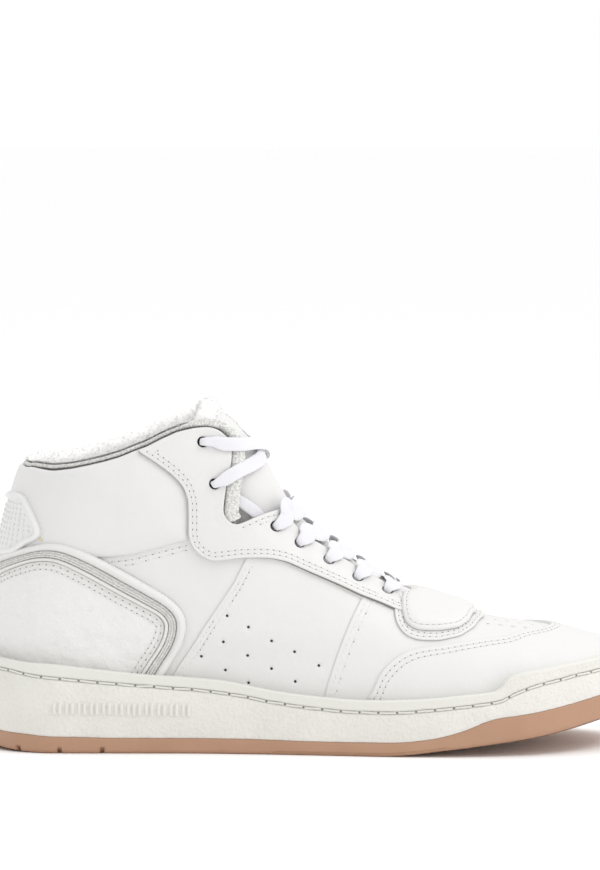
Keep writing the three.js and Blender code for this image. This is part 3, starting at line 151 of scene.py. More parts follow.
def around_from_side(x, z):
    """side-view place on the lateral side -> chart (a negative)"""
    x, z = np.asarray(x, float), np.asarray(z, float)
    h = last_half(np.maximum(x, X_BACK(z) + 1e-3), z)
    al = np.arctan2(h, np.maximum(AXIS_HEEL - x, 1e-6))
    back = x <= X_BACK(z) + 0.02
    a = np.where(x < AXIS_HEEL, np.where(back, 0.0, al / (math.pi / 2) * HEEL_ARC), HEEL_ARC + x - AXIS_HEEL)
    return -a, z


# ---- chart "over": p runs to the toe, q is the way along the skin from the ridge (negative on the lateral side);
# in front of AXIS_TOE the two are polar about the toe's crown
NV = 160
TOE_FULL = 6.0
_SX = np.arange(-84.0, AXIS_TOE + 0.01, 1.0)


def _side_table():
    v = np.linspace(0, 1, NV)
    P = []
    for x in _SX:
        top = min(float(H_RIDGE(x)), 200.0)
        z = top - (top - float(zf(x))) * (1 - np.cos(v * math.pi / 2)) ** 0.9
        P.append(np.stack([np.full(NV, x), last_half(np.full(NV, x), z), z], -1))
    P = np.array(P)
    L = np.concatenate([np.zeros((len(_SX), 1)), np.cumsum(np.linalg.norm(np.diff(P, axis=1), axis=2), axis=1)], 1)
    # behind x = -30 the way is counted up from the feather line, as the ridge runs off above the shaft
    k = int(round(-30 - _SX[0]))
    L[:k] += (L[k, -1] - L[:k, -1])[:, None]
    return P, L


_SP, _SL = _side_table()
_TB = np.radians(np.linspace(0, 90, 61))


def _toe_table():
    v = np.linspace(0, 1, NV)
    out, LL = [], []
    for side in (-1, 1):
        P = []
        for b in _TB:
            lo, hi = 0.0, 70.0
            for _ in range(40):
                r = (lo + hi) / 2
                x = AXIS_TOE + r * math.cos(b)
                if x < X_FRONT and r * math.sin(b) < float(top_half(x)):
                    lo = r
                else:
                    hi = r
            r = lo * np.sin(v * math.pi / 2) ** 0.8
            x = AXIS_TOE + r * math.cos(b)
            dy = side * r * math.sin(b)
            y = centre(x, 50.0) + dy
            z = last_top(x, y)
            z[-1] = float(zf(x[-1]))
            P.append(np.stack([x, y, z], -1))
        P = np.array(P)
        out.append(P)
        LL.append(np.concatenate([np.zeros((len(_TB), 1)), np.cumsum(np.linalg.norm(np.diff(P, axis=1), axis=2), axis=1)], 1))
    return out, LL


_TP, _TL = _toe_table()


def _row_interp(P, L, i, s):
    """points at arc length s on rows i of a table"""
    Li, Pi = L[i], P[i]
    k = np.clip((Li <= s[:, None]).sum(1) - 1, 0, NV - 2)
    n = np.arange(len(s))
    a, b = Li[n, k], Li[n, k + 1]
    f = np.clip((s - a) / np.maximum(b - a, 1e-9), 0, None)[:, None]
    return Pi[n, k] * (1 - f) + Pi[n, k + 1] * f


def over(p, q):
    shape = np.broadcast(p, q).shape
    p, q = [np.array(v, float).ravel() for v in np.broadcast_arrays(p, q)]
    out = np.zeros((len(p), 3))
    s = np.where(q < 0, -1.0, 1.0)
    m = p <= AXIS_TOE
    if m.any():
        x = np.clip(p[m], _SX[0], AXIS_TOE)
        g = (x - _SX[0])
        i = np.clip(g.astype(int), 0, len(_SX) - 2)
        f = (g - i)[:, None]
        A, B = _row_interp(_SP, _SL, i, np.abs(q[m])), _row_interp(_SP, _SL, i + 1, np.abs(q[m]))
        P = A * (1 - f) + B * f
        # the interpolated half-width is set about the centre line, on the point's side
        P[:, 1] = centre(P[:, 0], np.maximum(P[:, 2], 50)) * 0 + centre(P[:, 0], P[:, 2]) + s[m] * P[:, 1]
        out[m] = P
    n = ~m
    if n.any():
        rho, b = np.hypot(p[n] - AXIS_TOE, q[n]), np.arctan2(np.abs(q[n]), p[n] - AXIS_TOE)
        g = b / (math.pi / 2) * (len(_TB) - 1)
        i = np.clip(g.astype(int), 0, len(_TB) - 2)
        f = (g - i)[:, None]
        res = np.zeros((n.sum(), 3))
        for k, sd in ((0, -1.0), (1, 1.0)):
            w = s[n] == sd
            if w.any():
                A, B = _row_interp(_TP[k], _TL[k], i[w], rho[w]), _row_interp(_TP[k], _TL[k], i[w] + 1, rho[w])
                res[w] = A * (1 - f[w]) + B * f[w]
        out[n] = res
    # the toe is fuller low down, where it sits in the rubber cup
    dx, dy = out[:, 0] - AXIS_TOE, out[:, 1] - centre(out[:, 0], 50.0)
    rr = np.maximum(np.hypot(dx, dy), 1e-6)
    w = TOE_FULL * smooth(108, 136, out[:, 0] + 0.25 * np.abs(dy)) * (1 - smooth(41, 53, out[:, 2]))
    out[:, 0] += w * dx / rr
    out[:, 1] += w * dy / rr
    return out.reshape(shape + (3,))


def over_from_side(x, z):
    """side-view place on the lateral side -> chart (q negative)"""
    x, z = np.asarray(x, float), np.asarray(z, float)
    P, Q = np.zeros_like(x), np.zeros_like(x)
    for n, (xx, zz) in enumerate(zip(x, z)):
        if xx <= AXIS_TOE:
            g = float(np.clip(xx - _SX[0], 0, len(_SX) - 1.001))
            i, t = int(g), g - int(g)
            v = [np.interp(-zz, -_SP[k][:, 2], _SL[k]) for k in (i, i + 1)]
            P[n], Q[n] = xx, -(v[0] * (1 - t) + v[1] * t)
        else:
            h = float(last_half(min(xx, X_FRONT - 0.01), zz))
            b = math.atan2(h, xx - AXIS_TOE)
            i = int(round(b / (math.pi / 2) * (len(_TB) - 1)))
            rad = np.hypot(_TP[0][i][:, 0] - AXIS_TOE, _TP[0][i][:, 1] - centre(_TP[0][i][:, 0], 50.0))
            rho = float(np.interp(math.hypot(h, xx - AXIS_TOE), rad, _TL[0][i]))
            P[n], Q[n] = AXIS_TOE + rho * math.cos(b), -rho * math.sin(b)
    return P, Q


# ---- chart "rise": p runs to the toe, q is the way up the skin from the feather line, one chart for each side
def _rise(side):
    up = _SL[:, -1:] - _SL[:, ::-1]
    pts = _SP[:, ::-1]

    def f(p, q):
        shape = np.broadcast(p, q).shape
        p, q = [np.array(v, float).ravel() for v in np.broadcast_arrays(p, q)]
        x = np.clip(p, _SX[0], AXIS_TOE)
        g = x - _SX[0]
        i = np.clip(g.astype(int), 0, len(_SX) - 2)
        t = (g - i)[:, None]
        A, B = _row_interp(pts, up, i, q), _row_interp(pts, up, i + 1, q)
        P = A * (1 - t) + B * t
        P[:, 1] = centre(P[:, 0], P[:, 2]) + side * P[:, 1]
        return P.reshape(shape + (3,))

    return f


rise = {-1: _rise(-1), 1: _rise(1)}


def rise_from_side(x, z):
    x, z = np.asarray(x, float), np.asarray(z, float)
    Q = np.zeros_like(x)
    for n, (xx, zz) in enumerate(zip(x, z)):
        g = float(np.clip(xx - _SX[0], 0, len(_SX) - 1.001))
        i, t = int(g), g - int(g)
        v = [_SL[k][-1] - np.interp(-zz, -_SP[k][:, 2], _SL[k]) for k in (i, i + 1)]
        Q[n] = v[0] * (1 - t) + v[1] * t
    return x, Q


def normals_of(chart, a, b):
    h = 0.12
    da = chart(a + h, b) - chart(a - h, b)
    db = chart(a, b + h) - chart(a, b - h)
    n = np.cross(da, db)
    n /= np.maximum(np.linalg.norm(n, axis=-1, keepdims=True), 1e-9)
    return n


def chart_frame(chart, ab):
    """points and outward normals for an (n, 2) list of chart places"""
    a, b = ab[:, 0], ab[:, 1]
    if chart is over:  # keep off the fold at q = 0
        b = np.where(np.abs(b) < 0.15, np.where(b < 0, -0.15, 0.15), b)
    if chart is around:
        a = np.where(np.abs(a) < 0.15, np.where(a < 0, -0.15, 0.15), a)
    P, N = chart(ab[:, 0], ab[:, 1]), normals_of(chart, a, b)
    inner = np.stack([np.clip(P[:, 0], -100, 88), centre(np.clip(P[:, 0], -100, 88), 50.0), np.clip(P[:, 2] - 12, 0, 60)], -1)
    if chart is around:
        inner[:, 2] = P[:, 2]
        inner[:, 0] = np.where(P[:, 0] < -100, -100, P[:, 0])
    flip = ((P - inner) * N).sum(1) < 0
    N[flip] *= -1
    return P, N


# ------------------------------------------------------------------ outlines and their rings
def dense(line, step=1.0, closed=True):
    pts = np.array(line, float)
    if closed:
        pts = np.vstack([pts, pts[:1]])
    seg = np.linalg.norm(np.diff(pts, axis=0), axis=1)
    s = np.concatenate([[0], np.cumsum(seg)])
    n = max(int(s[-1] / step), 3)
    t = np.linspace(0, s[-1], n + 1)
    out = np.stack([np.interp(t, s, pts[:, 0]), np.interp(t, s, pts[:, 1])], -1)
    return out[:-1] if closed else out


def rounded(line, step=1.0, closed=True, passes=2):
    """an outline drawn smoothly through its points"""
    out = dense(line, step, closed)
    for _ in range(passes * 3):
        if closed:
            out = (np.roll(out, 1, 0) + 2 * out + np.roll(out, -1, 0)) / 4
        else:
            mid = (out[:-2] + 2 * out[1:-1] + out[2:]) / 4
            out = np.vstack([out[:1], mid, out[-1:]])
    return out


def area(poly):
    x, y = poly[:, 0], poly[:, 1]
    return 0.5 * np.sum(x * np.roll(y, -1) - np.roll(x, -1) * y)


def inside(poly, pts):
    x, y = pts[:, 0], pts[:, 1]
    res = np.zeros(len(pts), bool)
    px, py = poly[:, 0], poly[:, 1]
    qx, qy = np.roll(px, -1), np.roll(py, -1)
    for a, b, c, d in zip(px, py, qx, qy):
        if b == d:
            continue
        cross = ((b > y) != (d > y)) & (x < (c - a) * (y - b) / (d - b) + a)
        res ^= cross
    return res


def dist_to(poly, pts, closed=True):
    """distance to a polyline, in chart units"""
    A = poly
    B = np.roll(poly, -1, 0) if closed else poly[1:]
    if not closed:
        A = poly[:-1]
    best = np.full(len(pts), 1e9)
    D = B - A
    L2 = np.maximum((D**2).sum(1), 1e-12)
    for i in range(len(A)):
        v = pts - A[i]
        t = np.clip((v @ D[i]) / L2[i], 0, 1)
        e = v - t[:, None] * D[i]
        np.minimum(best, np.hypot(e[:, 0], e[:, 1]), out=best)
    return best


def ring(poly, d, step=1.0):
    """the outline moved inwards by d (outwards if negative), without the points that would cross over"""
    s = 1 if area(poly) > 0 else -1
    t = np.roll(poly, -1, 0) - np.roll(poly, 1, 0)
    t /= np.maximum(np.linalg.norm(t, axis=1, keepdims=True), 1e-9)
    n = np.stack([-t[:, 1], t[:, 0]], -1) * s
    out = poly + n * d
    keep = dist_to(poly, out) > abs(d) * 0.93
    return out[keep], keep


def hexgrid(poly, step):
    lo, hi = poly.min(0), poly.max(0)
    xs = np.arange(lo[0], hi[0], step)
    rows = np.arange(lo[1], hi[1], step * 0.866)
    g = np.array([[x + (step / 2 if k % 2 else 0), y] for k, y in enumerate(rows) for x in xs])
    return g


SCALE = 0.001
MATS = {}


def mesh_from(name, verts, faces, mats, fmat=None, smooth_faces=True):
    me = bpy.data.meshes.new(name)
    me.from_pydata((np.asarray(verts) * SCALE).tolist(), [], [list(map(int, f)) for f in faces])
    me.validate(clean_customdata=False)
    for m in mats:
        me.materials.append(m)
    if fmat is not None and len(fmat) == len(me.polygons):
        me.polygons.foreach_set("material_index", np.asarray(fmat, np.int32))
    me.polygons.foreach_set("use_smooth", [smooth_faces] * len(me.polygons))
    me.update()
    o = bpy.data.objects.new(name, me)
    bpy.context.scene.collection.objects.link(o)
    return o


SURF = {}


def panel(name, chart, outline, d0, d1, mats, edge_r=0.55, holes=(), relief=None, rings=(), step=1.7, keep_edge=None, wall=True):
    """a piece of leather on a chart: outline in chart units, between offsets d0 and d1, with rounded edges.
    relief(ab, edge distance) adds to the outer offset; holes are (centre, radius); rings are extra distances from the edge that get points."""
    poly = outline if area(outline) > 0 else outline[::-1]
    SURF[name] = lambda ab: d1 + (relief(ab, dist_to(poly, ab)) if relief is not None else 0.0) + 0.06
    pts, levels = [poly], []
    for d in sorted({0.22, 0.55, 1.15, *rings}):
        r, _ = ring(poly, d)
        if len(r):
            pts.append(r)
    g = hexgrid(poly, step)
    g = g[inside(poly, g)]
    far = dist_to(poly, g) > (max([1.15, *rings]) + step * 0.45 if len(rings) < 4 else max([1.15, *rings]) + 0.7)
    pts.append(g[far])
    loops = [list(range(len(poly)))]
    allp = np.vstack(pts)
    hole_polys = []
    for c, r, n in holes:
        t = np.linspace(0, 2 * math.pi, n, endpoint=False)
        circ = np.stack([c[0] + r * np.cos(t), c[1] + r * np.sin(t)], -1)
        extra = [np.stack([c[0] + (r + e) * np.cos(t + 0.1), c[1] + (r + e) * np.sin(t + 0.1)], -1) for e in ((0.25, 0.6) if r > 1.5 else (0.3,))]
        far = np.hypot(allp[:, 0] - c[0], allp[:, 1] - c[1]) > r + (0.9 if r > 1.5 else 0.6)
        far[: len(poly)] = True
        keepi = np.nonzero(far)[0]
        allp = allp[keepi]
        loops = [[int(np.searchsorted(keepi, i)) for i in lp] for lp in loops]
        k = len(allp)
        allp = np.vstack([allp, circ, *extra])
        loops.append(list(range(k, k + n)))
        hole_polys.append((c, r))
    edges = [(lp[i], lp[(i + 1) % len(lp)]) for lp in loops for i in range(len(lp))]
    res = geometry.delaunay_2d_cdt([Vector(p) for p in allp.tolist()], edges, [], 0, 1e-5)
    V = np.array([[v.x, v.y] for v in res[0]])
    F = np.array([f for f in res[2] if len(f) == 3], int)
    c = V[F].mean(1)
    ok = inside(poly, c)
    for h, r in hole_polys:
        ok &= np.hypot(c[:, 0] - h[0], c[:, 1] - h[1]) > r * 0.985
    F = F[ok]
    used = np.unique(F)
    remap = -np.ones(len(V), int)
    remap[used] = np.arange(len(used))
    V, F = V[used], remap[F]
    e = dist_to(poly, V)
    if keep_edge is not None:  # stretches of the outline that tuck under another piece keep their full height
        e = np.where(keep_edge(V), 5.0, e)
    for h, r in hole_polys:
        e = np.minimum(e, np.hypot(V[:, 0] - h[0], V[:, 1] - h[1]) - r)
    t = np.clip(e / edge_r, 0, 1)
    off = d1 - edge_r * 0.8 * (1 - np.sqrt(np.maximum(1 - (1 - t) ** 2, 0)))
    if relief is not None:
        off = off + relief(V, e)
    P, N = chart_frame(chart, V)
    top = P + N * off[:, None]
    # orient the faces outwards
    fn = np.cross(top[F[:, 1]] - top[F[:, 0]], top[F[:, 2]] - top[F[:, 0]])
    if (fn * N[F[:, 0]]).sum() < 0:
        F = F[:, ::-1]
    faces, fmat = F.tolist(), [0] * len(F)
    verts = [top]
    if wall:
        cnt = {}
        for f in F:
            for i in range(3):
                a, b = f[i], f[(i + 1) % 3]
                cnt[(a, b)] = cnt.get((a, b), 0) + 1
        border = [k for k in cnt if (k[1], k[0]) not in cnt]
        ids = sorted({v for k in border for v in k})
        m = {v: len(top) + i for i, v in enumerate(ids)}
        verts.append(P[ids] + N[ids] * d0)
        for a, b in border:
            faces.append([b, a, m[a], m[b]])
            fmat.append(1 if len(mats) > 1 else 0)
    return mesh_from(name, np.vstack(verts), faces, mats, fmat)


def join(name, parts):
    parts = [p for p in parts if p is not None]
    bpy.ops.object.select_all(action="DESELECT")
    for p in parts:
        p.select_set(True)
    bpy.context.view_layer.objects.active = parts[0]
    if len(parts) > 1:
        bpy.ops.object.join()
    o = bpy.context.view_layer.objects.active
    o.name = name
    o.data.name = name
    return o


def mirror_line(line):
    return np.stack([-line[:, 0], line[:, 1]], -1)

EYESTAY = [[-77.9, 136], [-73.4, 137.6], [-67.2, 140.8], [-60.1, 143.9], [-53, 145.5], [-46.7, 145.8], [-42.3, 144.3], [-38.3, 140.7], [-36.5, 136.2], [-36.5, 131], [-37.4, 124.4], [-38.7, 118.2], [-39.6, 109.8], [-39.4, 106.6], [-36.9, 103.2], [-33.8, 101.9], [-30.7, 102.9], [-23.6, 105.8], [-14.2, 107.4], [-10, 130], [60, 100], [48, 70], [45.6, 66.5], [44.9, 63.2], [43.2, 60.6], [37.4, 62.1], [30.7, 65.2], [21.8, 68.8], [12.9, 73.2], [4, 77.3], [-4.9, 81.3], [-11.6, 84.5], [-18.2, 86.4], [-23.6, 86.9], [-31.6, 87], [-38.3, 86.2], [-44.1, 85.7], [-47.6, 87.1], [-51.2, 89.8], [-53.8, 93.3], [-55, 97.8], [-55, 105.4], [-55.2, 113.5], [-57, 118.9], [-60.1, 122.9], [-63.6, 126.1], [-70.3, 131.1]]
COLLAR = [[-170, 123.5], [-132, 125], [-128, 126.4], [-125, 127.1], [-115.7, 126.1], [-107.2, 127.4], [-100.6, 128.9], [-93, 130.7], [-85.9, 132.7], [-77.9, 136], [-70, 134], [-45, 120], [-45, 95], [-55, 95.1], [-67.2, 92], [-80.5, 88.5], [-91.7, 87.4], [-100, 87.4], [-115, 88], [-128, 84], [-170, 76]]
REAR_EDGE = [[-29.4, 85.3], [-35.2, 76], [-41.4, 66.7], [-48.1, 56.9], [-54.7, 46.5], [-59.2, 39.8], [-63.6, 32.6], [-72, 18]]
SIDE_EDGE = [[22.7, 68.3], [18.2, 60], [14.2, 50.5], [10.7, 40.8], [7.1, 29.2], [4, 15]]
MUD_TOP = [[25.4, 24], [28, 28.6], [30.7, 35.3], [33.8, 39.2], [37.4, 42.2], [41.8, 44.8], [47.2, 46.2], [53.8, 46.8], [60.1, 47.2], [69.9, 48.7], [79.7, 49.7], [89.4, 50.2], [96.6, 50.9], [104.6, 51.6], [111.7, 53.3], [118.4, 60]]
D_UPPER = [[41.4, 80], [41.4, 67.2], [41.8, 60.7], [43.6, 56.5], [47.6, 54], [57.4, 53.2], [65.4, 53.8], [69.4, 56.1], [71.2, 59], [72.1, 66], [72.1, 80]]
D_LOWER = [[36.9, 80], [36.9, 60.8], [38.7, 55.4], [42.3, 51.2], [47.6, 49.4], [57.4, 48.9], [67.2, 50.4], [73, 53.4], [76.1, 57], [77.4, 62], [77.4, 80]]
ROLL_OUTER = [[-149.5, 79.5], [-138.4, 85.4], [-129.5, 89.8], [-121.5, 92.9], [-115.9, 94.3], [-109.9, 93.6], [-103, 91.1], [-96.1, 87.8], [-90.8, 85.2], [-80.5, 79.4], [-70.3, 73.6], [-63.6, 69.5], [-58.7, 65.1], [-56.1, 60.9], [-55.6, 54.9], [-58, 47.4], [-62.1, 40.4], [-65.6, 35.4]]
BAND_INNER = [[-149.5, 71], [-138.4, 77.6], [-131.7, 81.8], [-124.8, 84.8], [-117.9, 85.8], [-113.2, 85.2], [-107.7, 82.8], [-97.5, 77.4], [-87.2, 71.6], [-77, 66.2], [-67.6, 61.3], [-64.9, 57.6], [-66.3, 51.5], [-70.3, 44.5], [-74.3, 38.5], [-76.4, 35.6]]
TAB_OUTLINE = [[-170, 112.6], [-133.3, 112.6], [-129.5, 114.8], [-127.3, 114.6], [-125.8, 112.6], [-123.7, 107.4], [-121, 99.6], [-120.6, 97.4], [-122.4, 95.4], [-138.4, 88.3], [-147.3, 84.5], [-170, 80]]
EYELETS = [[-49, 139.2], [-43.6, 120.5], [-16.9, 100.3], [-6.2, 91.9], [7.1, 83.9], [20, 75.8], [33.4, 69.4]]
QUARTER_HOLES = [[-37.5, 61.4], [-28, 56.4], [-17.6, 50.3], [-7.3, 45.5], [3.6, 39.4], [-39.2, 49.8], [-28.3, 43.6], [-17.6, 37.8], [-6.9, 32.2], [-49.1, 43.1], [-38.3, 36.9], [-27.9, 31.3]]
BINDING = [[-130.2, 127.0], [-128, 128.6], [-125, 129.4], [-115.7, 129.1], [-107.2, 130.2], [-100.6, 131.6], [-93, 133.4], [-85.9, 135.4], [-77.9, 138.6], [-73.4, 140.2], [-67.2, 143.4], [-60.1, 146.5], [-53, 148.2], [-46.7, 148.4], [-41, 146.6], [-36.4, 142.4], [-34, 136.6], [-33.9, 131], [-34.8, 124.4], [-36, 118], [-36.6, 110.5]]


# ------------------------------------------------------------------ materials
def material(name, colour, rough, bumps=(), spec=0.5, sheen=0.0, sheen_rough=0.5, sss=0.0, mottle=None, uv=False, coat=0.0):
    """bumps: (kind, size in mm, height in mm[, stretch]) with kind noise, cells, edges, weave or knit"""
    m = bpy.data.materials.new(name)
    m.use_nodes = True
    nt = m.node_tree
    b = nt.nodes["Principled BSDF"]
    b.inputs["Base Color"].default_value = (*colour, 1)
    b.inputs["Roughness"].default_value = rough
    b.inputs["Specular IOR Level"].default_value = spec
    b.inputs["Sheen Weight"].default_value = sheen
    b.inputs["Sheen Roughness"].default_value = sheen_rough
    b.inputs["Coat Weight"].default_value = coat
    if sss:
        b.inputs["Subsurface Weight"].default_value = sss
        b.inputs["Subsurface Radius"].default_value = (0.6, 0.5, 0.4)
        b.inputs["Subsurface Scale"].default_value = 0.002
    tc = nt.nodes.new("ShaderNodeTexCoord")
    src = tc.outputs["UV" if uv else "Object"]
    last = None
    for bump in bumps:
        kind, size, high = bump[:3]
        mp = nt.nodes.new("ShaderNodeMapping")
        k = 1.0 if uv else 1000.0
        st = bump[3] if len(bump) > 3 else (1, 1, 1)
        mp.inputs["Scale"].default_value = tuple(k / size / v for v in st)
        nt.links.new(src, mp.inputs["Vector"])
        if kind == "noise":
            t = nt.nodes.new("ShaderNodeTexNoise")
            t.inputs["Scale"].default_value = 1.0
            t.inputs["Detail"].default_value = 3.0
            out = t.outputs["Fac"]
        elif kind in ("cells", "edges"):
            t = nt.nodes.new("ShaderNodeTexVoronoi")
            t.feature = "SMOOTH_F1" if kind == "cells" else "DISTANCE_TO_EDGE"
            t.inputs["Scale"].default_value = 1.0
            out = t.outputs["Distance"]
            if kind == "edges":
                r = nt.nodes.new("ShaderNodeMapRange")
                r.inputs["From Max"].default_value = 0.22
                nt.links.new(out, r.inputs["Value"])
                out = r.outputs["Result"]
            else:
                r = nt.nodes.new("ShaderNodeMapRange")
                r.inputs["From Max"].default_value = 0.75
                r.inputs["To Min"].default_value = 1.0
                r.inputs["To Max"].default_value = 0.0
                nt.links.new(out, r.inputs["Value"])
                out = r.outputs["Result"]
        else:  # weave: one set of diagonal bands
            t = nt.nodes.new("ShaderNodeTexWave")
            t.inputs["Scale"].default_value = 1.0 / (2 * math.pi) * 3.14159
            t.inputs["Distortion"].default_value = 0.4
            t.bands_direction = "DIAGONAL"
            out = t.outputs["Fac"]
        nt.links.new(mp.outputs["Vector"], t.inputs["Vector"])
        bn = nt.nodes.new("ShaderNodeBump")
        bn.inputs["Strength"].default_value = 1.0
        bn.inputs["Distance"].default_value = high / 1000
        nt.links.new(out, bn.inputs["Height"])
        if last is not None:
            nt.links.new(last, bn.inputs["Normal"])
        last = bn.outputs["Normal"]
    if last is not None:
        nt.links.new(last, b.inputs["Normal"])
    if mottle:
        size, other, lo, hi = mottle
        mp = nt.nodes.new("ShaderNodeMapping")
        mp.inputs["Scale"].default_value = ((1.0 if uv else 1000.0) / size,) * 3
        nt.links.new(src, mp.inputs["Vector"])
        t = nt.nodes.new("ShaderNodeTexNoise")
        t.inputs["Scale"].default_value = 1.0
        t.inputs["Detail"].default_value = 4.0
        nt.links.new(mp.outputs["Vector"], t.inputs["Vector"])
        r = nt.nodes.new("ShaderNodeValToRGB")
        r.color_ramp.elements[0].position, r.color_ramp.elements[1].position = lo, hi
        r.color_ramp.elements[0].color, r.color_ramp.elements[1].color = (*colour, 1), (*other, 1)
        nt.links.new(t.outputs["Fac"], r.inputs["Fac"])
        nt.links.new(r.outputs["Color"], b.inputs["Base Color"])
    return m


LEATHER = material("smooth_leather", (0.715, 0.71, 0.70), 0.46, [("edges", 0.9, 0.02), ("noise", 7, 0.12), ("noise", 26, 0.7)], spec=0.42)
TUMBLED = material("tumbled_leather", (0.745, 0.74, 0.73), 0.48, [("edges", 1.9, 0.07), ("noise", 3.6, 0.35), ("noise", 12, 0.6)], spec=0.42)
EDGE = material("cut_edge", (0.45, 0.445, 0.43), 0.8, [("noise", 0.5, 0.08)])
# the eyestay's edge wall: partly the raw cut edge's own colour, partly painted shade for the dark line along its edges
EDGE_RAW_AND_SHADE = material("cut_edge_and_painted_shade", (0.22, 0.215, 0.205), 0.8, [("noise", 0.5, 0.08)])
EDGE_L = material("edge_leather", (0.74, 0.735, 0.71), 0.5, [("edges", 1.1, 0.03), ("noise", 7, 0.08)], spec=0.4)
RUBBER = material("sidewall_rubber", (0.70, 0.685, 0.64), 0.70, [("cells", 1.35, 0.34), ("noise", 0.7, 0.10)], spec=0.35, mottle=(14, (0.725, 0.71, 0.665), 0.4, 0.6))
LIP = material("sidewall_lip", (0.71, 0.70, 0.655), 0.62, [("cells", 1.0, 0.10), ("noise", 0.6, 0.05)], spec=0.35)
GUMM = material("gum_rubber", (0.405, 0.232, 0.145), 0.48, [("noise", 1.6, 0.02)], spec=0.45, mottle=(22, (0.43, 0.25, 0.16), 0.35, 0.65))
THREAD = material("thread", (0.74, 0.735, 0.70), 0.75, [("noise", 0.3, 0.05)])
SOLETHREAD = material("sole_thread", (0.70, 0.69, 0.64), 0.75, [("noise", 0.35, 0.06)])
# needle holes: flat dark discs of painted shade for each hole's recess
NEEDLE_HOLE_SHADE = material("needle_hole_painted_shade", (0.22, 0.22, 0.21), 0.9)
# punched and eyelet holes: near-black discs of painted shade for the insides of the holes
HOLE_INSIDE_SHADE = material("punched_hole_painted_shade", (0.05, 0.05, 0.048), 0.95)
TERRY = material("terry", (0.90, 0.89, 0.88), 0.95, [("cells", 0.9, 0.10), ("noise", 0.5, 0.05)], spec=0.1, sheen=0.6, sheen_rough=0.6)
KNIT = material("knit", (0.55, 0.55, 0.53), 0.92, [("noise", 0.45, 0.12)], spec=0.15, sheen=0.2, mottle=(0.9, (0.78, 0.775, 0.75), 0.42, 0.58))
CORD = material("cord", (0.62, 0.62, 0.60), 0.85, [("noise", 0.4, 0.1)], spec=0.2, mottle=(1.1, (0.74, 0.735, 0.71), 0.4, 0.6))
TAB = material("moulded_tab", (0.745, 0.745, 0.74), 0.36, [("noise", 1.2, 0.02)], spec=0.5)
LACEM = material("lace_cotton", (0.74, 0.735, 0.765), 0.85, [("noise", 0.35, 0.05)], spec=0.2, sheen=0.25)
TIP = material("clear_tip", (0.86, 0.86, 0.86), 0.2, spec=0.5, coat=0.4)
FOAM = material("foam", (0.76, 0.75, 0.70), 0.95, [("noise", 0.6, 0.2)])
BOARD = material("board", (0.55, 0.46, 0.32), 0.85, [("noise", 1.0, 0.1)])
STIFF = material("stiffener", (0.55, 0.48, 0.38), 0.8, [("noise", 0.8, 0.05)])
GLUE = material("glue_trace", (0.70, 0.63, 0.42), 0.45, spec=0.4)


def vnoise(P, size, seed=0):
    c, s = math.cos(0.7 + seed), math.sin(0.7 + seed)
    turn = np.array([[c, -s * 0.8, s * 0.6], [s, c * 0.8, -c * 0.6], [0, 0.6, 0.8]])
    q = P @ turn / size + seed * 17.13
    i = np.floor(q).astype(np.int64)
    f = q - i
    f = f * f * (3 - 2 * f)

    def h(o):
        j = i + np.array(o)
        n = (j[:, 0] * 73856093) ^ (j[:, 1] * 19349663) ^ (j[:, 2] * 83492791) ^ (seed * 7919 + 13)
        n = n & 0xFFFFFFF
        n = ((n ^ (n >> 11)) * 1274127) & 0xFFFFFFF
        n = n ^ (n >> 9)
        return (n & 0xFFFF) / 32767.5 - 1

    def lerp(a, b, t):
        return a + (b - a) * t

    x = [lerp(h((0, b, c)), h((1, b, c)), f[:, 0]) for b in (0, 1) for c in (0, 1)]
    y0, y1 = lerp(x[0], x[2], f[:, 1]), lerp(x[1], x[3], f[:, 1])
    return lerp(y0, y1, f[:, 2])


# ------------------------------------------------------------------ stitches
def walk(P, N, step):
    seg = np.linalg.norm(np.diff(P, axis=0), axis=1)
    s = np.concatenate([[0], np.cumsum(seg)])

    def at(t):
        p = np.stack([np.interp(t, s, P[:, k]) for k in range(3)], -1)
        n = np.stack([np.interp(t, s, N[:, k]) for k in range(3)], -1)
        return p, n / np.linalg.norm(n, axis=-1, keepdims=True)

    return s[-1], at


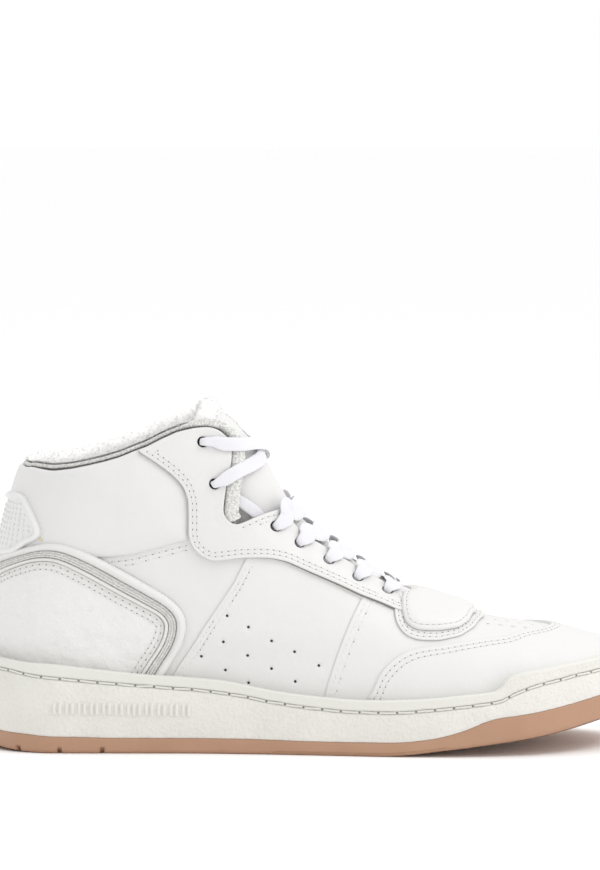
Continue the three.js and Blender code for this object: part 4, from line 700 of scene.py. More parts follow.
def stitches(P, N, pitch=2.9, gap=0.75, r=0.27, sides=6, lift=0.16, rings=6):
    """thread geometry along a line on a surface, and flat dark discs of painted shade for the needle holes: ((verts,
    faces), (verts, faces))
    """
    L, at = walk(P, N, pitch)
    n = max(int(L / pitch), 1)
    pitch = L / n
    t0 = np.arange(n) * pitch + gap / 2
    u = np.linspace(0, 1, rings)
    T = t0[:, None] + u[None] * (pitch - gap)
    p, nn = at(T.ravel())
    p, nn = p.reshape(n, rings, 3), nn.reshape(n, rings, 3)
    tan = np.gradient(p, axis=1)
    tan /= np.maximum(np.linalg.norm(tan, axis=2, keepdims=True), 1e-9)
    w = np.cross(tan, nn)
    arch = lift * np.sin(math.pi * u) ** 0.6 - 0.10
    rad = r * np.array([0.55, 0.95, 1, 1, 0.95, 0.55]) if rings == 6 else r * np.ones(rings)
    a = np.linspace(0, 2 * math.pi, sides, endpoint=False)
    tilt = 0.05 * RNG.standard_normal(n)
    side_shift = (u - 0.5)[None] * tilt[:, None] * (pitch - gap)
    V = (p + nn * arch[None, :, None] + w * side_shift[:, :, None])[:, :, None] + rad[None, :, None, None] * (np.cos(a)[None, None, :, None] * w[:, :, None] + np.sin(a)[None, None, :, None] * nn[:, :, None])
    V = V.reshape(-1, 3)
    F = []
    for i in range(n):
        o = i * rings * sides
        for j in range(rings - 1):
            for k in range(sides):
                k2 = (k + 1) % sides
                F.append((o + j * sides + k, o + j * sides + k2, o + (j + 1) * sides + k2, o + (j + 1) * sides + k))
        F.append(tuple(o + k for k in range(sides))[::-1])
        F.append(tuple(o + (rings - 1) * sides + k for k in range(sides)))
    hp, hn = at(np.arange(n + 1) * pitch)
    ht = at(np.arange(n + 1) * pitch + 0.05)[0] - at(np.arange(n + 1) * pitch - 0.05)[0]
    ht /= np.maximum(np.linalg.norm(ht, axis=1, keepdims=True), 1e-9)
    hw = np.cross(ht, hn)
    HV, HF = [], []
    for i in range(n + 1):
        o = len(HV)
        for k in range(8):
            t = 2 * math.pi * k / 8
            HV.append(hp[i] + hn[i] * 0.03 + ht[i] * (gap * 0.5 * math.cos(t)) + hw[i] * (r * 0.95 * math.sin(t)))
        HF.append(tuple(range(o, o + 8)))
    return (V, F), (np.array(HV), HF)


class Sewing:
    """every stitch row of one body, gathered into a thread mesh and a needle-hole mesh of painted-shade discs"""

    def __init__(self):
        self.parts = {}

    def add(self, kind, VF):
        V, F = self.parts.setdefault(kind, ([], []))
        o = sum(len(v) for v in V)
        V.append(VF[0])
        F.extend([tuple(i + o for i in f) for f in VF[1]])

    def row(self, chart, line, height, mirror=True, **kw):
        for l in (line, mirror_q(line)) if mirror else (line,):
            P, N = chart_frame(chart, l)
            P = P + N * (height(l)[:, None] if callable(height) else height)
            th, ho = stitches(P, N, **kw)
            self.add("thread", th)
            self.add("hole", ho)

    def build(self, name, body, thread=None):
        out = []
        # the hole mesh takes the dark painted-shade material
        for kind, m in (("thread", thread or THREAD), ("hole", NEEDLE_HOLE_SHADE)):
            if kind in self.parts:
                V, F = self.parts[kind]
                o = mesh_from(name + "_" + kind, np.vstack(V), F, [m])
                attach(o, body)
                out.append(o)
        return out


def mirror_q(line):
    """meant for the same line on the other side (around mirrors its first coordinate, over its second); not
    implemented, it only raises
    """
    raise NotImplementedError


def mirrored(chart, line):
    line = np.array(line, float)
    return np.stack([-line[:, 0], line[:, 1]], -1) if chart is around else np.stack([line[:, 0], -line[:, 1]], -1)


def to_chart(chart, side_line):
    l = np.array(side_line, float)
    a, b = (around_from_side if chart is around else over_from_side)(l[:, 0], l[:, 1])
    return np.stack([a, b], -1)


SEW = Sewing()


def sew(chart, line, height, both=True, **kw):
    line = np.asarray(line, float)
    if callable(height):
        height = height(line)[:, None]
    for l in ([line, mirrored(chart, line)] if both else [line]):
        P, N = chart_frame(chart, l)
        P = P + N * height
        th, ho = stitches(P, N, **kw)
        SEW.add("thread", th)
        SEW.add("hole", ho)


def shifted(line, d):
    """an open line moved sideways by d"""
    t = np.gradient(line, axis=0)
    t /= np.maximum(np.linalg.norm(t, axis=1, keepdims=True), 1e-9)
    out = line + np.stack([-t[:, 1], t[:, 0]], -1) * d
    if abs(d) > 0.3:
        keep = dist_to(line, out, closed=False) > abs(d) * 0.95
        out = out[keep]
    return out


# a strip that lies on a chart along a line: prof is a list of (across in mm, height in mm, material index)
def ribbon_on(name, chart, A, B, prof, mats, heights=None, close=False):
    """between chart lines A and B (same count): prof gives (f from A to B, height, material)"""
    n, k = len(A), len(prof)
    f = np.array([p[0] for p in prof])
    d = np.array([p[1] for p in prof])
    ab = A[:, None] + (B - A)[:, None] * f[None, :, None]
    P, N = chart_frame(chart, ab.reshape(-1, 2))
    dd = np.tile(d, n)
    if heights is not None:
        dd = heights(ab.reshape(-1, 2), np.tile(f, n), dd, P)
    V = P + N * dd[:, None]
    F, M = [], []
    for i in range(n - 1):
        for j in range(k - 1):
            F.append((i * k + j, (i + 1) * k + j, (i + 1) * k + j + 1, i * k + j + 1))
            M.append(prof[j][2])
    return mesh_from(name, V, F, mats, M)


def fix_normals(o):
    bm = bmesh.new()
    bm.from_mesh(o.data)
    bmesh.ops.recalc_face_normals(bm, faces=bm.faces)
    bm.to_mesh(o.data)
    bm.free()
    return o


def done(o, body, nodes=()):
    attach(o, body)
    if nodes:
        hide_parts(*nodes)
    return o


def lip_z(x):
    return Z_LIP(x)


# ------------------------------------------------------------------ base panels
def bottom_line(chart, x0, x1, drop=7.0, n=60):
    x = np.linspace(x0, x1, n)
    return to_chart(chart, np.stack([x, lip_z(x) - drop], -1))


def rows_relief(*ds, depth=0.2, w=0.5):
    def f(ab, e):
        out = np.zeros(len(ab))
        for d in ds:
            out -= depth * np.exp(-(((e - d) / w) ** 2))
        return out

    return f


def line_relief(chart, lines, depth=0.2, w=0.55):
    allp = [np.asarray(l, float) for l in lines]

    def f(ab, e):
        out = np.zeros(len(ab))
        for l in allp:
            out -= depth * np.exp(-((dist_to(l, ab, closed=False) / w) ** 2))
        return out

    return f


def base_soft(ab, chart):
    """the gentle unevenness that all the base panels share; the same on both sides"""
    q = np.stack([-np.abs(ab[:, 0]), ab[:, 1]], -1) if chart is around else np.stack([ab[:, 0], -np.abs(ab[:, 1])], -1)
    P = chart(q[:, 0], q[:, 1])
    return 0.18 * vnoise(P, 16, 11) + 0.38 * vnoise(P, 33, 12)


COLLAR_TOP = COLLAR[1:10] + [[-66, 139.0], [-58, 141.0]]
# the padded collar, one piece round the heel
half = to_chart(around, [[-129.8, 127.0], *COLLAR_TOP[1:], [-50, 134], [-49.5, 118], [-49.5, 96.5], [-55, 95.1], [-67.2, 92], [-80.5, 88.5], [-91.7, 87.4], [-100, 87.4], [-115, 87.4], [-128, 83.5]])
half = np.vstack([[[0, 127.0]], half, [[0, 80.5]]])
half = rounded(half, 1.0, closed=False, passes=1)
collar_line = np.vstack([half, mirrored(around, half[::-1])[1:-1]])


# the eyestay lies on the pad's front: the padding ends along the eyestay's rear edge
FLAP_REAR = rounded(to_chart(around, [[-84, 139.5], [-77.9, 136.5], [-70.3, 131.1], [-63.6, 126.1], [-60.1, 122.9], [-57, 118.9], [-55.2, 113.5], [-55, 105.4], [-55, 97.8], [-53.8, 91]]), 1.0, closed=False, passes=1)


def collar_relief(ab, e):
    q = np.stack([-np.abs(ab[:, 0]), ab[:, 1]], -1)
    P = around(ab[:, 0], ab[:, 1])
    e2 = np.where(q[:, 0] < np.interp(-q[:, 1], -FLAP_REAR[:, 1], FLAP_REAR[:, 0]), 0.0, dist_to(FLAP_REAR, q, closed=False))
    e = np.minimum(np.clip(e, 0, None), e2)
    fast = 1 - np.exp(-e / 1.3)
    puff = 1.0 * fast + 1.9 * (1 - np.exp(-e / 8.0))
    soft = 0.6 * vnoise(P, 19, 5) + 0.2 * vnoise(P, 8, 6)
    return puff + soft * np.clip(e / 8, 0, 1)


o = panel("visual_collar_panel", around, collar_line, -0.6, 0.9, [LEATHER, EDGE], edge_r=0.9, relief=collar_relief, step=2.0, rings=(2.4, 4.5))
done(o, "upper", ("collar_panel_lateral", "collar_panel_medial"))

# rear quarters
rear_edge = [[-31.0, 88.0], *REAR_EDGE[1:-1], [-68, 26]]
for side, word in ((-1, "lateral"), (1, "medial")):
    h = to_chart(around, [*[[x + 3.5, z] for x, z in rear_edge], [-68, lip_z(-68) - 7], [-100, lip_z(-100) - 7]])
    top = to_chart(around, [[-120, 96], [-91.7, 95], [-80, 96.5], [-60, 100], [-50, 101], [-34, 96]])
    l = rounded(np.vstack([h, [[-20, 33]], [[-20, 96]], top]), 1.0, passes=1)
    l = l if side < 0 else mirrored(around, l)
    e_rear = to_chart(around, rear_edge)

    def rear_relief(ab, e, side=side):
        q = ab if side < 0 else mirrored(around, ab)
        P = around(q[:, 0], q[:, 1])
        under = np.exp(-((dist_to(COLLAR_LOW, q, closed=False) / 1.5) ** 2))
        g = line_relief(around, COLLAR_ROWS, 0.22, 0.6)(q, e)
        tuck = 0.5 * np.exp(-((dist_to(dense(to_chart(around, rear_edge), 1.0, closed=False), q, closed=False) / 3.0) ** 2))
        return base_soft(ab, around) + g - 0.75 * under - tuck * 0.4

    COLLAR_LOW = to_chart(around, [[-128, 84], [-115, 88], [-100, 87.4], [-91.7, 87.4], [-80.5, 88.5], [-67.2, 92], [-55, 95.1]])
    low = dense(COLLAR_LOW, 1.0, closed=False)
    COLLAR_ROWS = [low - np.array([0, 2.2]), low - np.array([0, 4.2])]
    o = panel("visual_rear_quarter_" + word, around, l, 0.0, 1.0, [LEATHER, EDGE], relief=rear_relief, step=1.8)
    done(o, "upper", ("rear_quarter_" + word,))
vis = [r for r in COLLAR_ROWS]
for r in vis:
    sew(around, r[(r[:, 0] < -53) & (r[:, 0] > -90.5)], SURF["visual_rear_quarter_lateral"])

# quarters, over the rear quarters' edge: perforated, double row along the seam
holes_side = [to_chart(around, [h])[0] for h in QUARTER_HOLES]
for side, word in ((-1, "lateral"), (1, "medial")):
    re = to_chart(around, [[-28.4, 88.5], *[[x + 0.6, z] for x, z in REAR_EDGE[1:-1]], [-66, 26]])
    fr = to_chart(around, [[31.5, 78], [27.5, 71.5], [21.2, 60], [17.2, 50.5], [13.7, 40.8], [10.1, 29.2], [8.5, 21]])
    bot = bottom_line(around, -64, 4)[::-1]
    top = to_chart(around, [[-22, 93], [-10, 91.5], [5, 86], [18, 81]])
    l = rounded(np.vstack([re[::-1], top, fr, bot[2:-2]]), 1.0, passes=1)
    seam = dense(to_chart(around, [[-28.4, 88.5], *[[x + 0.6, z] for x, z in REAR_EDGE[1:-1]], [-64, 30]]), 1.0, closed=False)
    seam = rounded(seam, 1.0, closed=False, passes=1)
    r1, r2 = shifted(seam, 2.0), shifted(seam, 4.0)
    if r1[:, 0].mean() > seam[:, 0].mean():  # the rows lie towards the toe
        r1, r2 = shifted(seam, -2.0), shifted(seam, -4.0)
    vis1 = [r[(around(r[:, 0], r[:, 1])[:, 2] > 26.5) & (r[:, 1] < 83.5)] for r in (r1, r2)]
    if side > 0:
        l = mirrored(around, l)

    def q_relief(ab, e, side=side, rows=(r1, r2)):
        q = ab if side < 0 else mirrored(around, ab)
        P = around(q[:, 0], q[:, 1])
        lift = 0.45 * np.exp(-((dist_to(seam, q, closed=False) / 6.0) ** 2))
        down = 0.35 * smooth(1.5, -1.5, dist_sign(fr_line, q))
        return base_soft(ab, around) + line_relief(around, rows, 0.2, 0.55)(q, e) + lift - down

    fr_line = dense(to_chart(around, [[29, 80], [25, 73.5], [18.2, 60], [14.2, 50.5], [10.7, 40.8], [7.1, 29.2], [5.5, 21]]), 1.0, closed=False)

    def dist_sign(line, q):
        """how far behind the line a place is; negative in front of it"""
        xs = np.interp(q[:, 1], line[::-1, 1], line[::-1, 0])
        return xs * 1.0 - q[:, 0] if line[0, 0] > 0 else -(xs - q[:, 0]) * 1.0

    hs = [((c[0] if side < 0 else -c[0], c[1]), 0.62, 12) for c in holes_side]
    o = panel("visual_quarter_" + word, around, l, 0.0, 1.15, [LEATHER, EDGE], relief=q_relief, step=1.8, holes=hs, edge_r=0.5)
    done(o, "upper", ("quarter_" + word,))
for r in vis1:
    sew(around, r, SURF["visual_quarter_lateral"])


def shade_discs(name, chart, centres, r, height, mat, depth=0.9):
    """near-black discs set down inside punched holes: painted shade standing for the holes' dark insides"""
    V, F = [], []
    ab = np.array(centres, float)
    P, N = chart_frame(chart, ab)
    for p, n in zip(P, N):
        t = np.cross(n, [0, 0, 1.0])
        t /= np.linalg.norm(t)
        b = np.cross(n, t)
        o = len(V)
        for k in range(12):
            a = 2 * math.pi * k / 12
            V.append(p + n * (height - depth) + r * (math.cos(a) * t + math.sin(a) * b))
        F.append(tuple(range(o, o + 12)))
    return done(mesh_from(name, np.array(V), F, [mat]), "upper")


# painted shade in the quarters' punched holes
shade_discs("visual_quarter_punches", around, [*[tuple(c) for c in holes_side], *[(-c[0], c[1]) for c in holes_side]], 0.72, 1.2, HOLE_INSIDE_SHADE, 0.75)


# ------------------------------------------------------------------ the front: side panels and vamp in one skin
def front_bottom():
    """chart places of the lower edge round the toe, 7 mm under the lip"""
    out = []
    for x in np.arange(5.5, AXIS_TOE + 0.1, 3.0):
        i = int(round(x - _SX[0]))
        z = _SP[i][:, 2]
        out.append((x, -np.interp(-(float(lip_z(x)) - 6), -z, _SL[i])))
    for i in range(len(_TB) - 1, -1, -3):
        P, L = _TP[0][i], _TL[0][i]
        drop = P[:, 2] - (lip_z(P[:, 0]) - 6)
        k = int(np.argmax(drop < 0)) if (drop < 0).any() else NV - 1
        k = max(k, 1)
        rho = L[k]
        out.append((AXIS_TOE + rho * math.cos(_TB[i]), -rho * math.sin(_TB[i])))
    return np.array(out)


FB = front_bottom()
fr_edge = to_chart(over, [[5.5, 21], [7.1, 29.2], [10.7, 40.8], [14.2, 50.5], [18.2, 60], [22.7, 68.3], [26, 74.5]])


def throat_chart(xs, grow, side=-1):
    """chart places of the throat's edge, grown outwards by grow mm along the skin"""
    out = []
    for x in xs:
        y = float(THROAT_HALF(x)) + (float(smooth(10, -6, x)) if side > 0 else 0.0)
        i = int(np.clip(round(x - _SX[0]), 0, len(_SX) - 1))
        q = float(np.interp(y, _SP[i][:, 1], _SL[i])) + grow
        out.append((x, side * q))
    return np.array(out)


THROAT_HALF = pchip([[-32, 22.5], [-23.6, 19.2], [-14.2, 16], [-5, 13.6], [10, 12.1], [25, 10.8], [34, 9.8], [38.5, 8.7], [40.5, 4]])
tline = throat_chart([28, 31, 34, 37], 3.2)
half_front = np.vstack([fr_edge[::-1][1:][::-1], tline, [[41.0, -7.0], [42.5, -3.5]]])
half_front = rounded(half_front, 1.0, closed=False, passes=1)
fb = rounded(FB, 1.2, closed=False, passes=1)
fb[-1, 1] = min(fb[-1, 1], -0.0)
front_line = np.vstack([half_front, mirrored(over, half_front)[::-1], mirrored(over, fb)[1:], fb[::-1][1:-1]])
TOE_HOLES = []
for x0, y0, n in ((75.5, 0, 6), (77, 7.5, 6), (77, -7.5, 6), (79.5, 14.6, 5), (79.5, -14.6, 5)):
    for i in range(n):
        x, y = x0 + 5.6 * i, y0 * (1 - 0.05 * i)
        if x <= AXIS_TOE:
            TOE_HOLES.append((x, y * 1.03))
        else:
            TOE_HOLES.append((x, y * 1.03))
side_seam = rounded(fr_edge, 1.0, closed=False, passes=1)
s1, s2 = shifted(side_seam, 2.0), shifted(side_seam, 4.0)
if s1[:, 0].mean() < side_seam[:, 0].mean():
    s1, s2 = shifted(side_seam, -2.0), shifted(side_seam, -4.0)


def front_relief(ab, e):
    q = np.where((ab[:, 1] > 0)[:, None], mirrored(over, ab), ab)
    P = over(ab[:, 0], ab[:, 1])
    lift = 0.4 * np.exp(-((dist_to(side_seam, q, closed=False) / 5.0) ** 2))
    return base_soft(ab, over) + line_relief(over, (s1, s2), 0.2, 0.55)(q, e) + lift


o = panel("visual_vamp", over, front_line, 0.0, 1.35, [LEATHER, EDGE], relief=front_relief, step=2.0, holes=[((p, q), 0.6, 12) for p, q in TOE_HOLES], edge_r=0.5)
done(o, "upper", ("vamp", "side_panel_lateral", "side_panel_medial"))
# painted shade in the toe's punched holes
shade_discs("visual_vamp_punches", over, TOE_HOLES, 0.72, 1.2, HOLE_INSIDE_SHADE, 0.75)
for r in (s1, s2):
    P = over(r[:, 0], r[:, 1])
    sew(over, r[(P[:, 2] > lip_z(P[:, 0]) - 0.5) & (P[:, 2] < 71.5)], SURF["visual_vamp"])

# mudguard round the toe
mud = to_chart(over, [[25.8, 25.5], [28, 28.6], [30.7, 35.3], [33.8, 39.2], [37.4, 42.2], [41.8, 44.8], [47.2, 46.2], [53.8, 46.8], [60.1, 47.2], [69.9, 48.2], [79.7, 49.0], [88, 49.3]])
mud = np.vstack([mud, [[95.5, -19.5], [102, -14.5], [106.5, -8.5], [108.5, -3.5], [108.8, 0]]])
mud = rounded(mud, 1.0, closed=False, passes=2)
mud[-1, 1] = 0
mb = fb[fb[:, 0] > 24.0]
mud_line = np.vstack([mud, mirrored(over, mud)[::-1][1:], mirrored(over, mb)[1:], mb[::-1][1:-1]])
m1, m2 = shifted(mud, 2.0), shifted(mud, 4.0)
if np.abs(m1[:, 1]).mean() < np.abs(mud[:, 1]).mean():
    m1, m2 = shifted(mud, -2.0), shifted(mud, -4.0)


def mud_relief(ab, e):
    q = np.where((ab[:, 1] > 0)[:, None], mirrored(over, ab), ab)
    P = over(ab[:, 0], ab[:, 1])
    return 0.10 * vnoise(P, 17, 31) + 0.3 * vnoise(P, 40, 32) + line_relief(over, (m1, m2), 0.2, 0.55)(q, e)


o = panel("visual_mudguard", over, mud_line, 0.9, 2.5, [LEATHER, EDGE_L], relief=mud_relief, step=2.0, rings=(2.0, 3.0, 4.0), edge_r=0.6)
done(o, "upper", ("mudguard",))
for r in (m1, m2):
    P = over(r[:, 0], r[:, 1])
    r = r[P[:, 2] > lip_z(P[:, 0]) - 0.5]
    sew(over, np.vstack([r, mirrored(over, r)[::-1]]), SURF["visual_mudguard"], both=False)


# ------------------------------------------------------------------ throat patches across the ridge
def across(pts, passes=2):
    """half outline given from the rear at the ridge, down the lateral side, to the front at the ridge"""
    h = rounded(np.array(pts, float), 1.0, closed=False, passes=passes)
    return np.vstack([h, mirrored(over, h)[::-1][1:-1]])


lowD = to_chart(over, [[36.9, 62.5], [37.3, 58.8], [38.7, 55.4], [42.3, 51.6], [47.6, 49.7], [57.4, 49.1], [67.2, 50.6], [73, 53.4], [76.1, 56.2]])
lowD = across([[37.5, -9.0], *lowD.tolist(), [77.6, -9.5], [78, 0]])
lowD = lowD[(lowD[:, 0] > 38) | (np.abs(lowD[:, 1]) > 8)]
o = panel("visual_throat_patch_base", over, lowD, 0.9, 2.5, [LEATHER, EDGE], relief=rows_relief(1.6, 3.4), step=1.8, rings=(1.6, 2.4, 3.4), edge_r=0.5)
done(o, "upper", ("throat_patch_base",))
upD_h = to_chart(over, [[39.6, 66.0], [39.8, 61.4], [41.6, 56.2], [46.6, 53.2], [57.4, 52.3], [66.4, 53.0], [70.8, 55.2], [72.8, 57.6]])
upD = across([[44.5, 0], [43.6, -5], [41.0, -9], *upD_h.tolist(), [73.6, -11], [74, 0]])


def patch_relief(ab, e):
    P = over(ab[:, 0], ab[:, 1])
    return 2.5 * (1 - np.exp(-e / 3.2)) + (0.35 * vnoise(P, 11, 41) + 0.1 * vnoise(P, 5, 42)) * np.clip(e / 5, 0, 1) - 0.3 * np.exp(-(((e - 1.7) / 0.6) ** 2))


o = panel("visual_throat_patch", over, upD, 2.3, 3.9, [LEATHER, EDGE], relief=patch_relief, step=1.7, rings=(1.7, 2.5, 3.5), edge_r=0.9)
done(o, "upper", ("throat_patch",))
for base, d, hh in ((lowD, 1.6, SURF["visual_throat_patch_base"]), (lowD, 3.4, SURF["visual_throat_patch_base"]), (upD, 1.75, SURF["visual_throat_patch"])):
    poly = base if area(base) > 0 else base[::-1]
    r, _ = ring(poly, d)
    r = np.vstack([r, r[:1]])
    sew(over, r, hh, both=False, pitch=2.8)


# ------------------------------------------------------------------ eyestays
eye_low = [[-77.9, 136], [-70.3, 131.1], [-63.6, 126.1], [-60.1, 122.9], [-57, 118.9], [-55.2, 113.5], [-55, 105.4], [-55, 97.8], [-53.8, 93.3], [-51.2, 89.8], [-47.6, 87.1], [-44.1, 85.7], [-38.3, 86.2], [-31.6, 87], [-23.6, 86.9], [-18.2, 86.4], [-11.6, 84.5], [-4.9, 81.3], [4, 77.3], [12.9, 73.2], [21.8, 68.8], [30.7, 65.2], [37.4, 62.1], [41.5, 60.6]]
def to_rise(side_line):
    l = np.array(side_line, float)
    return np.stack(rise_from_side(l[:, 0], l[:, 1]), -1)


low_c = to_rise(eye_low)
top_side = [[-14.2, 107.4], [-19, 106.9], [-23.6, 105.8], [-30.7, 102.9], [-33.8, 101.9], [-36.9, 103.2], [-39.4, 106.6], [-39.6, 109.8], [-38.7, 118.2], [-37.4, 124.4], [-36.5, 131], [-36.5, 136.2], [-38.3, 140.7], [-42.3, 144.3], [-46.7, 145.8], [-53, 145.5], [-60.1, 143.9], [-67.2, 140.8], [-73.4, 137.6]]
top_c = to_rise(top_side)


def throat_rise(xs):
    out = []
    for x in xs:
        i = int(np.clip(round(x - _SX[0]), 0, len(_SX) - 1))
        out.append((x, float(_SL[i][-1] - np.interp(float(THROAT_HALF(x)), _SP[i][:, 1], _SL[i]))))
    return np.array(out)


front_c = np.vstack([[[43.6, low_c[-1, 1] + 1.5], [43.4, low_c[-1, 1] + 4.5]], throat_rise([41.0, 38.5, 34, 25, 18, 10, 4, 0, -5, -9.5])])
eye_poly = rounded(np.vstack([low_c, front_c, top_c]), 1.0, passes=1)
throat_line = throat_rise(np.linspace(-9, 40, 50))
eye_c = [to_rise([e])[0] for e in EYELETS]
HOLE_R = 2.35
# short creases where the flap bends off the quarter
CREASES = [to_rise(l) for l in ([[-54, 103.5], [-49, 104.6], [-44, 103.8]], [[-54, 109], [-50.5, 108.6], [-46, 109.6]], [[-53.5, 98.5], [-49.5, 99.6], [-45.5, 98.8], [-42, 99.2]], [[-38, 96], [-33, 94.8], [-28, 95.4]])]


def eye_relief(ab, e):
    P = rise[-1](ab[:, 0], ab[:, 1])
    g = rows_relief(1.9, 3.7, depth=0.2, w=0.5)(ab, e)
    soft = 0.3 * vnoise(P, 19, 51) + 0.45 * vnoise(P, 38, 52)
    dimple = np.zeros(len(ab))
    for c in eye_c:
        dimple -= 0.35 * np.exp(-((np.hypot(ab[:, 0] - c[0], ab[:, 1] - c[1]) / 4.2) ** 2))
    for c in CREASES:
        dimple -= 0.22 * np.exp(-((dist_to(dense(c, 1.0, closed=False), ab, closed=False) / 0.9) ** 2))
    return g + soft * np.clip(e / 6, 0, 1) + dimple


hs = [((c[0], c[1]), HOLE_R, 24) for c in eye_c]
# the eyestays' edge walls are dark: raw edge colour plus painted shade
for side, word in ((-1, "lateral"), (1, "medial")):
    o = panel("visual_eyestay_" + word, rise[side], eye_poly, 0.9, 3.1, [LEATHER, EDGE_RAW_AND_SHADE], relief=eye_relief, step=1.8, holes=hs, rings=(1.9, 2.8, 3.7), edge_r=0.6)
    done(o, "upper", ("eyestay_" + word,))
poly = eye_poly if area(eye_poly) > 0 else eye_poly[::-1]
FLAP_XZ = np.array([[-84, 139.5], [-77.9, 136.5], [-70.3, 131.1], [-63.6, 126.1], [-60.1, 122.9], [-57, 118.9], [-55.2, 113.5], [-55, 105.4], [-55, 97.8], [-54, 91]])
for d in (1.9, 3.7):
    r, _ = ring(poly, d)
    # the double row runs along the lower and rear edges and the ankle flap; the throat's edge has the outer row only
    near_front = dist_to(throat_line, r, closed=False) < d + 0.8
    if d > 3:
        r = np.roll(r, -int(np.argmax(near_front)), 0)
        near_front = dist_to(throat_line, r, closed=False) < d + 0.8
        r = r[~near_front]
    # no row on the flap's top and front edges or round the notch
    P = rise[-1](r[:, 0], r[:, 1])
    off_rear = dist_to(FLAP_XZ, P[:, [0, 2]], closed=False) > 5.2
    keep = ~(off_rear & (P[:, 0] < (-31.5 if d < 3 else -24)) & (P[:, 2] > 97.5)) & ~((P[:, 0] > -13) & near_front[: len(r)])
    for c in eye_c:
        keep &= np.hypot(r[:, 0] - c[0], r[:, 1] - c[1]) > HOLE_R + 0.7
    gap = np.linalg.norm(np.roll(r, -1, 0) - r, axis=1) > 4.0
    start, runs, cur = 0, [], []
    for j in range(len(r)):
        if keep[j]:
            cur.append(r[j])
        if (not keep[j] or gap[j] or j == len(r) - 1) and cur:
            runs.append(np.array(cur))
            cur = []
    for pc in runs:
        if len(pc) > 5:
            for side in (-1, 1):
                sew(rise[side], pc, SURF["visual_eyestay_lateral"], both=False)


# ------------------------------------------------------------------ heel: roll, knitted band, piping, tumbled panel
def even(line, n):
    t = np.array(line, float)
    s = np.concatenate([[0], np.cumsum(np.linalg.norm(np.diff(t, axis=0), axis=1))])
    u = np.linspace(0, s[-1], n)
    return np.stack([np.interp(u, s, t[:, 0]), np.interp(u, s, t[:, 1])], -1)


def soft_line(t, k):
    for _ in range(k):
        t = np.vstack([t[:1], (t[:-2] + 2 * t[1:-1] + t[2:]) / 4, t[-1:]])
    return t


NB = 260
rollA = to_chart(around, [p for p in ROLL_OUTER[1:-1]] + [[-69.5, 28.0]])
bandB = to_chart(around, [p for p in BAND_INNER[1:-1]] + [[-80.4, 28.5]])
A = soft_line(even(np.vstack([[[0, 83.2]], rollA]), NB), 14)
B = soft_line(even(np.vstack([[[0, 73.4]], bandB]), NB), 14)
A[0, 0] = B[0, 0] = 0
A = soft_line(np.vstack([mirrored(around, A)[::-1][:-1], A]), 40)
B = soft_line(np.vstack([mirrored(around, B)[::-1][:-1], B]), 40)


def bump_profile():
    prof = []
    # padded roll, f 0..0.42
    for t in np.linspace(0, math.pi, 15):
        prof.append((0.21 - 0.215 * math.cos(t), 1.1 + 3.9 * math.sin(t) ** 0.75, 0))
    # knitted band with three cords, f 0.44..0.80
    for t in np.linspace(0, 1, 25):
        prof.append((0.435 + 0.365 * t, 2.25 + 0.75 * abs(math.sin(math.pi * 3 * t)) ** 0.7 + 0.5 * math.sin(math.pi * t), 1))
    # thin piping, f 0.81..1.0
    for t in np.linspace(0, math.pi, 11):
        prof.append((0.905 - 0.095 * math.cos(t), 1.3 + 2.2 * math.sin(t) ** 0.8, 2))
    return prof


PROF = bump_profile()


def heel_heights(ab, f, d, P):
    knit = (f > 0.44) & (f < 0.80)
    along = ab[:, 0] * 0
    n = len(PROF)
    idx = np.repeat(np.arange(len(A)), n)
    L = np.concatenate([[0], np.cumsum(np.linalg.norm(np.diff(A, axis=0), axis=1))])[idx]
    twist = 0.14 * np.sin(2 * math.pi * (L / 1.15) + f * 40)
    roll = (f < 0.43) & (f > 0.02)
    return d + np.where(knit, twist, 0) + np.where(roll, 0.22 * vnoise(P, 7, 61) + 0.12 * vnoise(P, 2.5, 62), 0)


# finer stations for the knitted cords
fine = np.linspace(0, len(A) - 1, 1500)
A = np.stack([np.interp(fine, np.arange(len(A)), A[:, k]) for k in (0, 1)], -1)
B = np.stack([np.interp(fine, np.arange(len(B)), B[:, k]) for k in (0, 1)], -1)
whole = ribbon_on("visual_heel_band", around, A, B, PROF, [LEATHER, CORD, EDGE_L], heights=heel_heights)
me = whole.data
# split by material so that each piece stands for its own node
bpy.ops.object.select_all(action="DESELECT")
whole.select_set(True)
bpy.context.view_layer.objects.active = whole
bpy.ops.object.mode_set(mode="EDIT")
bpy.ops.mesh.select_all(action="SELECT")
bpy.ops.mesh.separate(type="MATERIAL")
bpy.ops.object.mode_set(mode="OBJECT")
for ob in list(bpy.context.selected_objects):
    used = ob.data.polygons[0].material_index
    mname = ob.data.materials[used].name if used < len(ob.data.materials) else ob.data.materials[0].name
    if mname.startswith("smooth"):
        ob.name = "visual_heel_roll"
        done(ob, "upper", ("heel_roll",))
    elif mname.startswith("cord"):
        ob.name = "visual_heel_knit_band"
        done(ob, "upper", ("heel_knit_band",))
    else:
        ob.name = "visual_heel_piping"
        done(ob, "upper", ("heel_piping",))

# tumbled panel inside the band
inner = B[len(B) // 2 :]
inner = inner[:: 6]
hp = np.vstack([inner, to_chart(around, [[-84, 26], [-95, 29]]), [[-30, 30], [-14, 30], [0, 30]]])
hp_line = np.vstack([hp, mirrored(around, hp)[::-1][1:]])
hp_line = rounded(hp_line, 1.1, passes=1)


def heel_relief(ab, e):
    P = around(ab[:, 0], ab[:, 1])
    n = 0.5 * vnoise(P, 9, 71) + 0.30 * vnoise(P, 4.0, 72) + 0.20 * vnoise(P, 2.2, 73)
    crease = -0.35 * np.maximum(0, 1 - np.abs(vnoise(P * np.array([0.6, 1, 1.6]), 8, 74)) / 0.12)
    return (n + crease) * np.clip(e / 4, 0.15, 1) + 0.8 * (1 - np.exp(-e / 5)) - 0.25 * np.exp(-(((e - 2.4) / 0.5) ** 2)) - 0.2 * np.exp(-(((e - 4.4) / 0.5) ** 2))


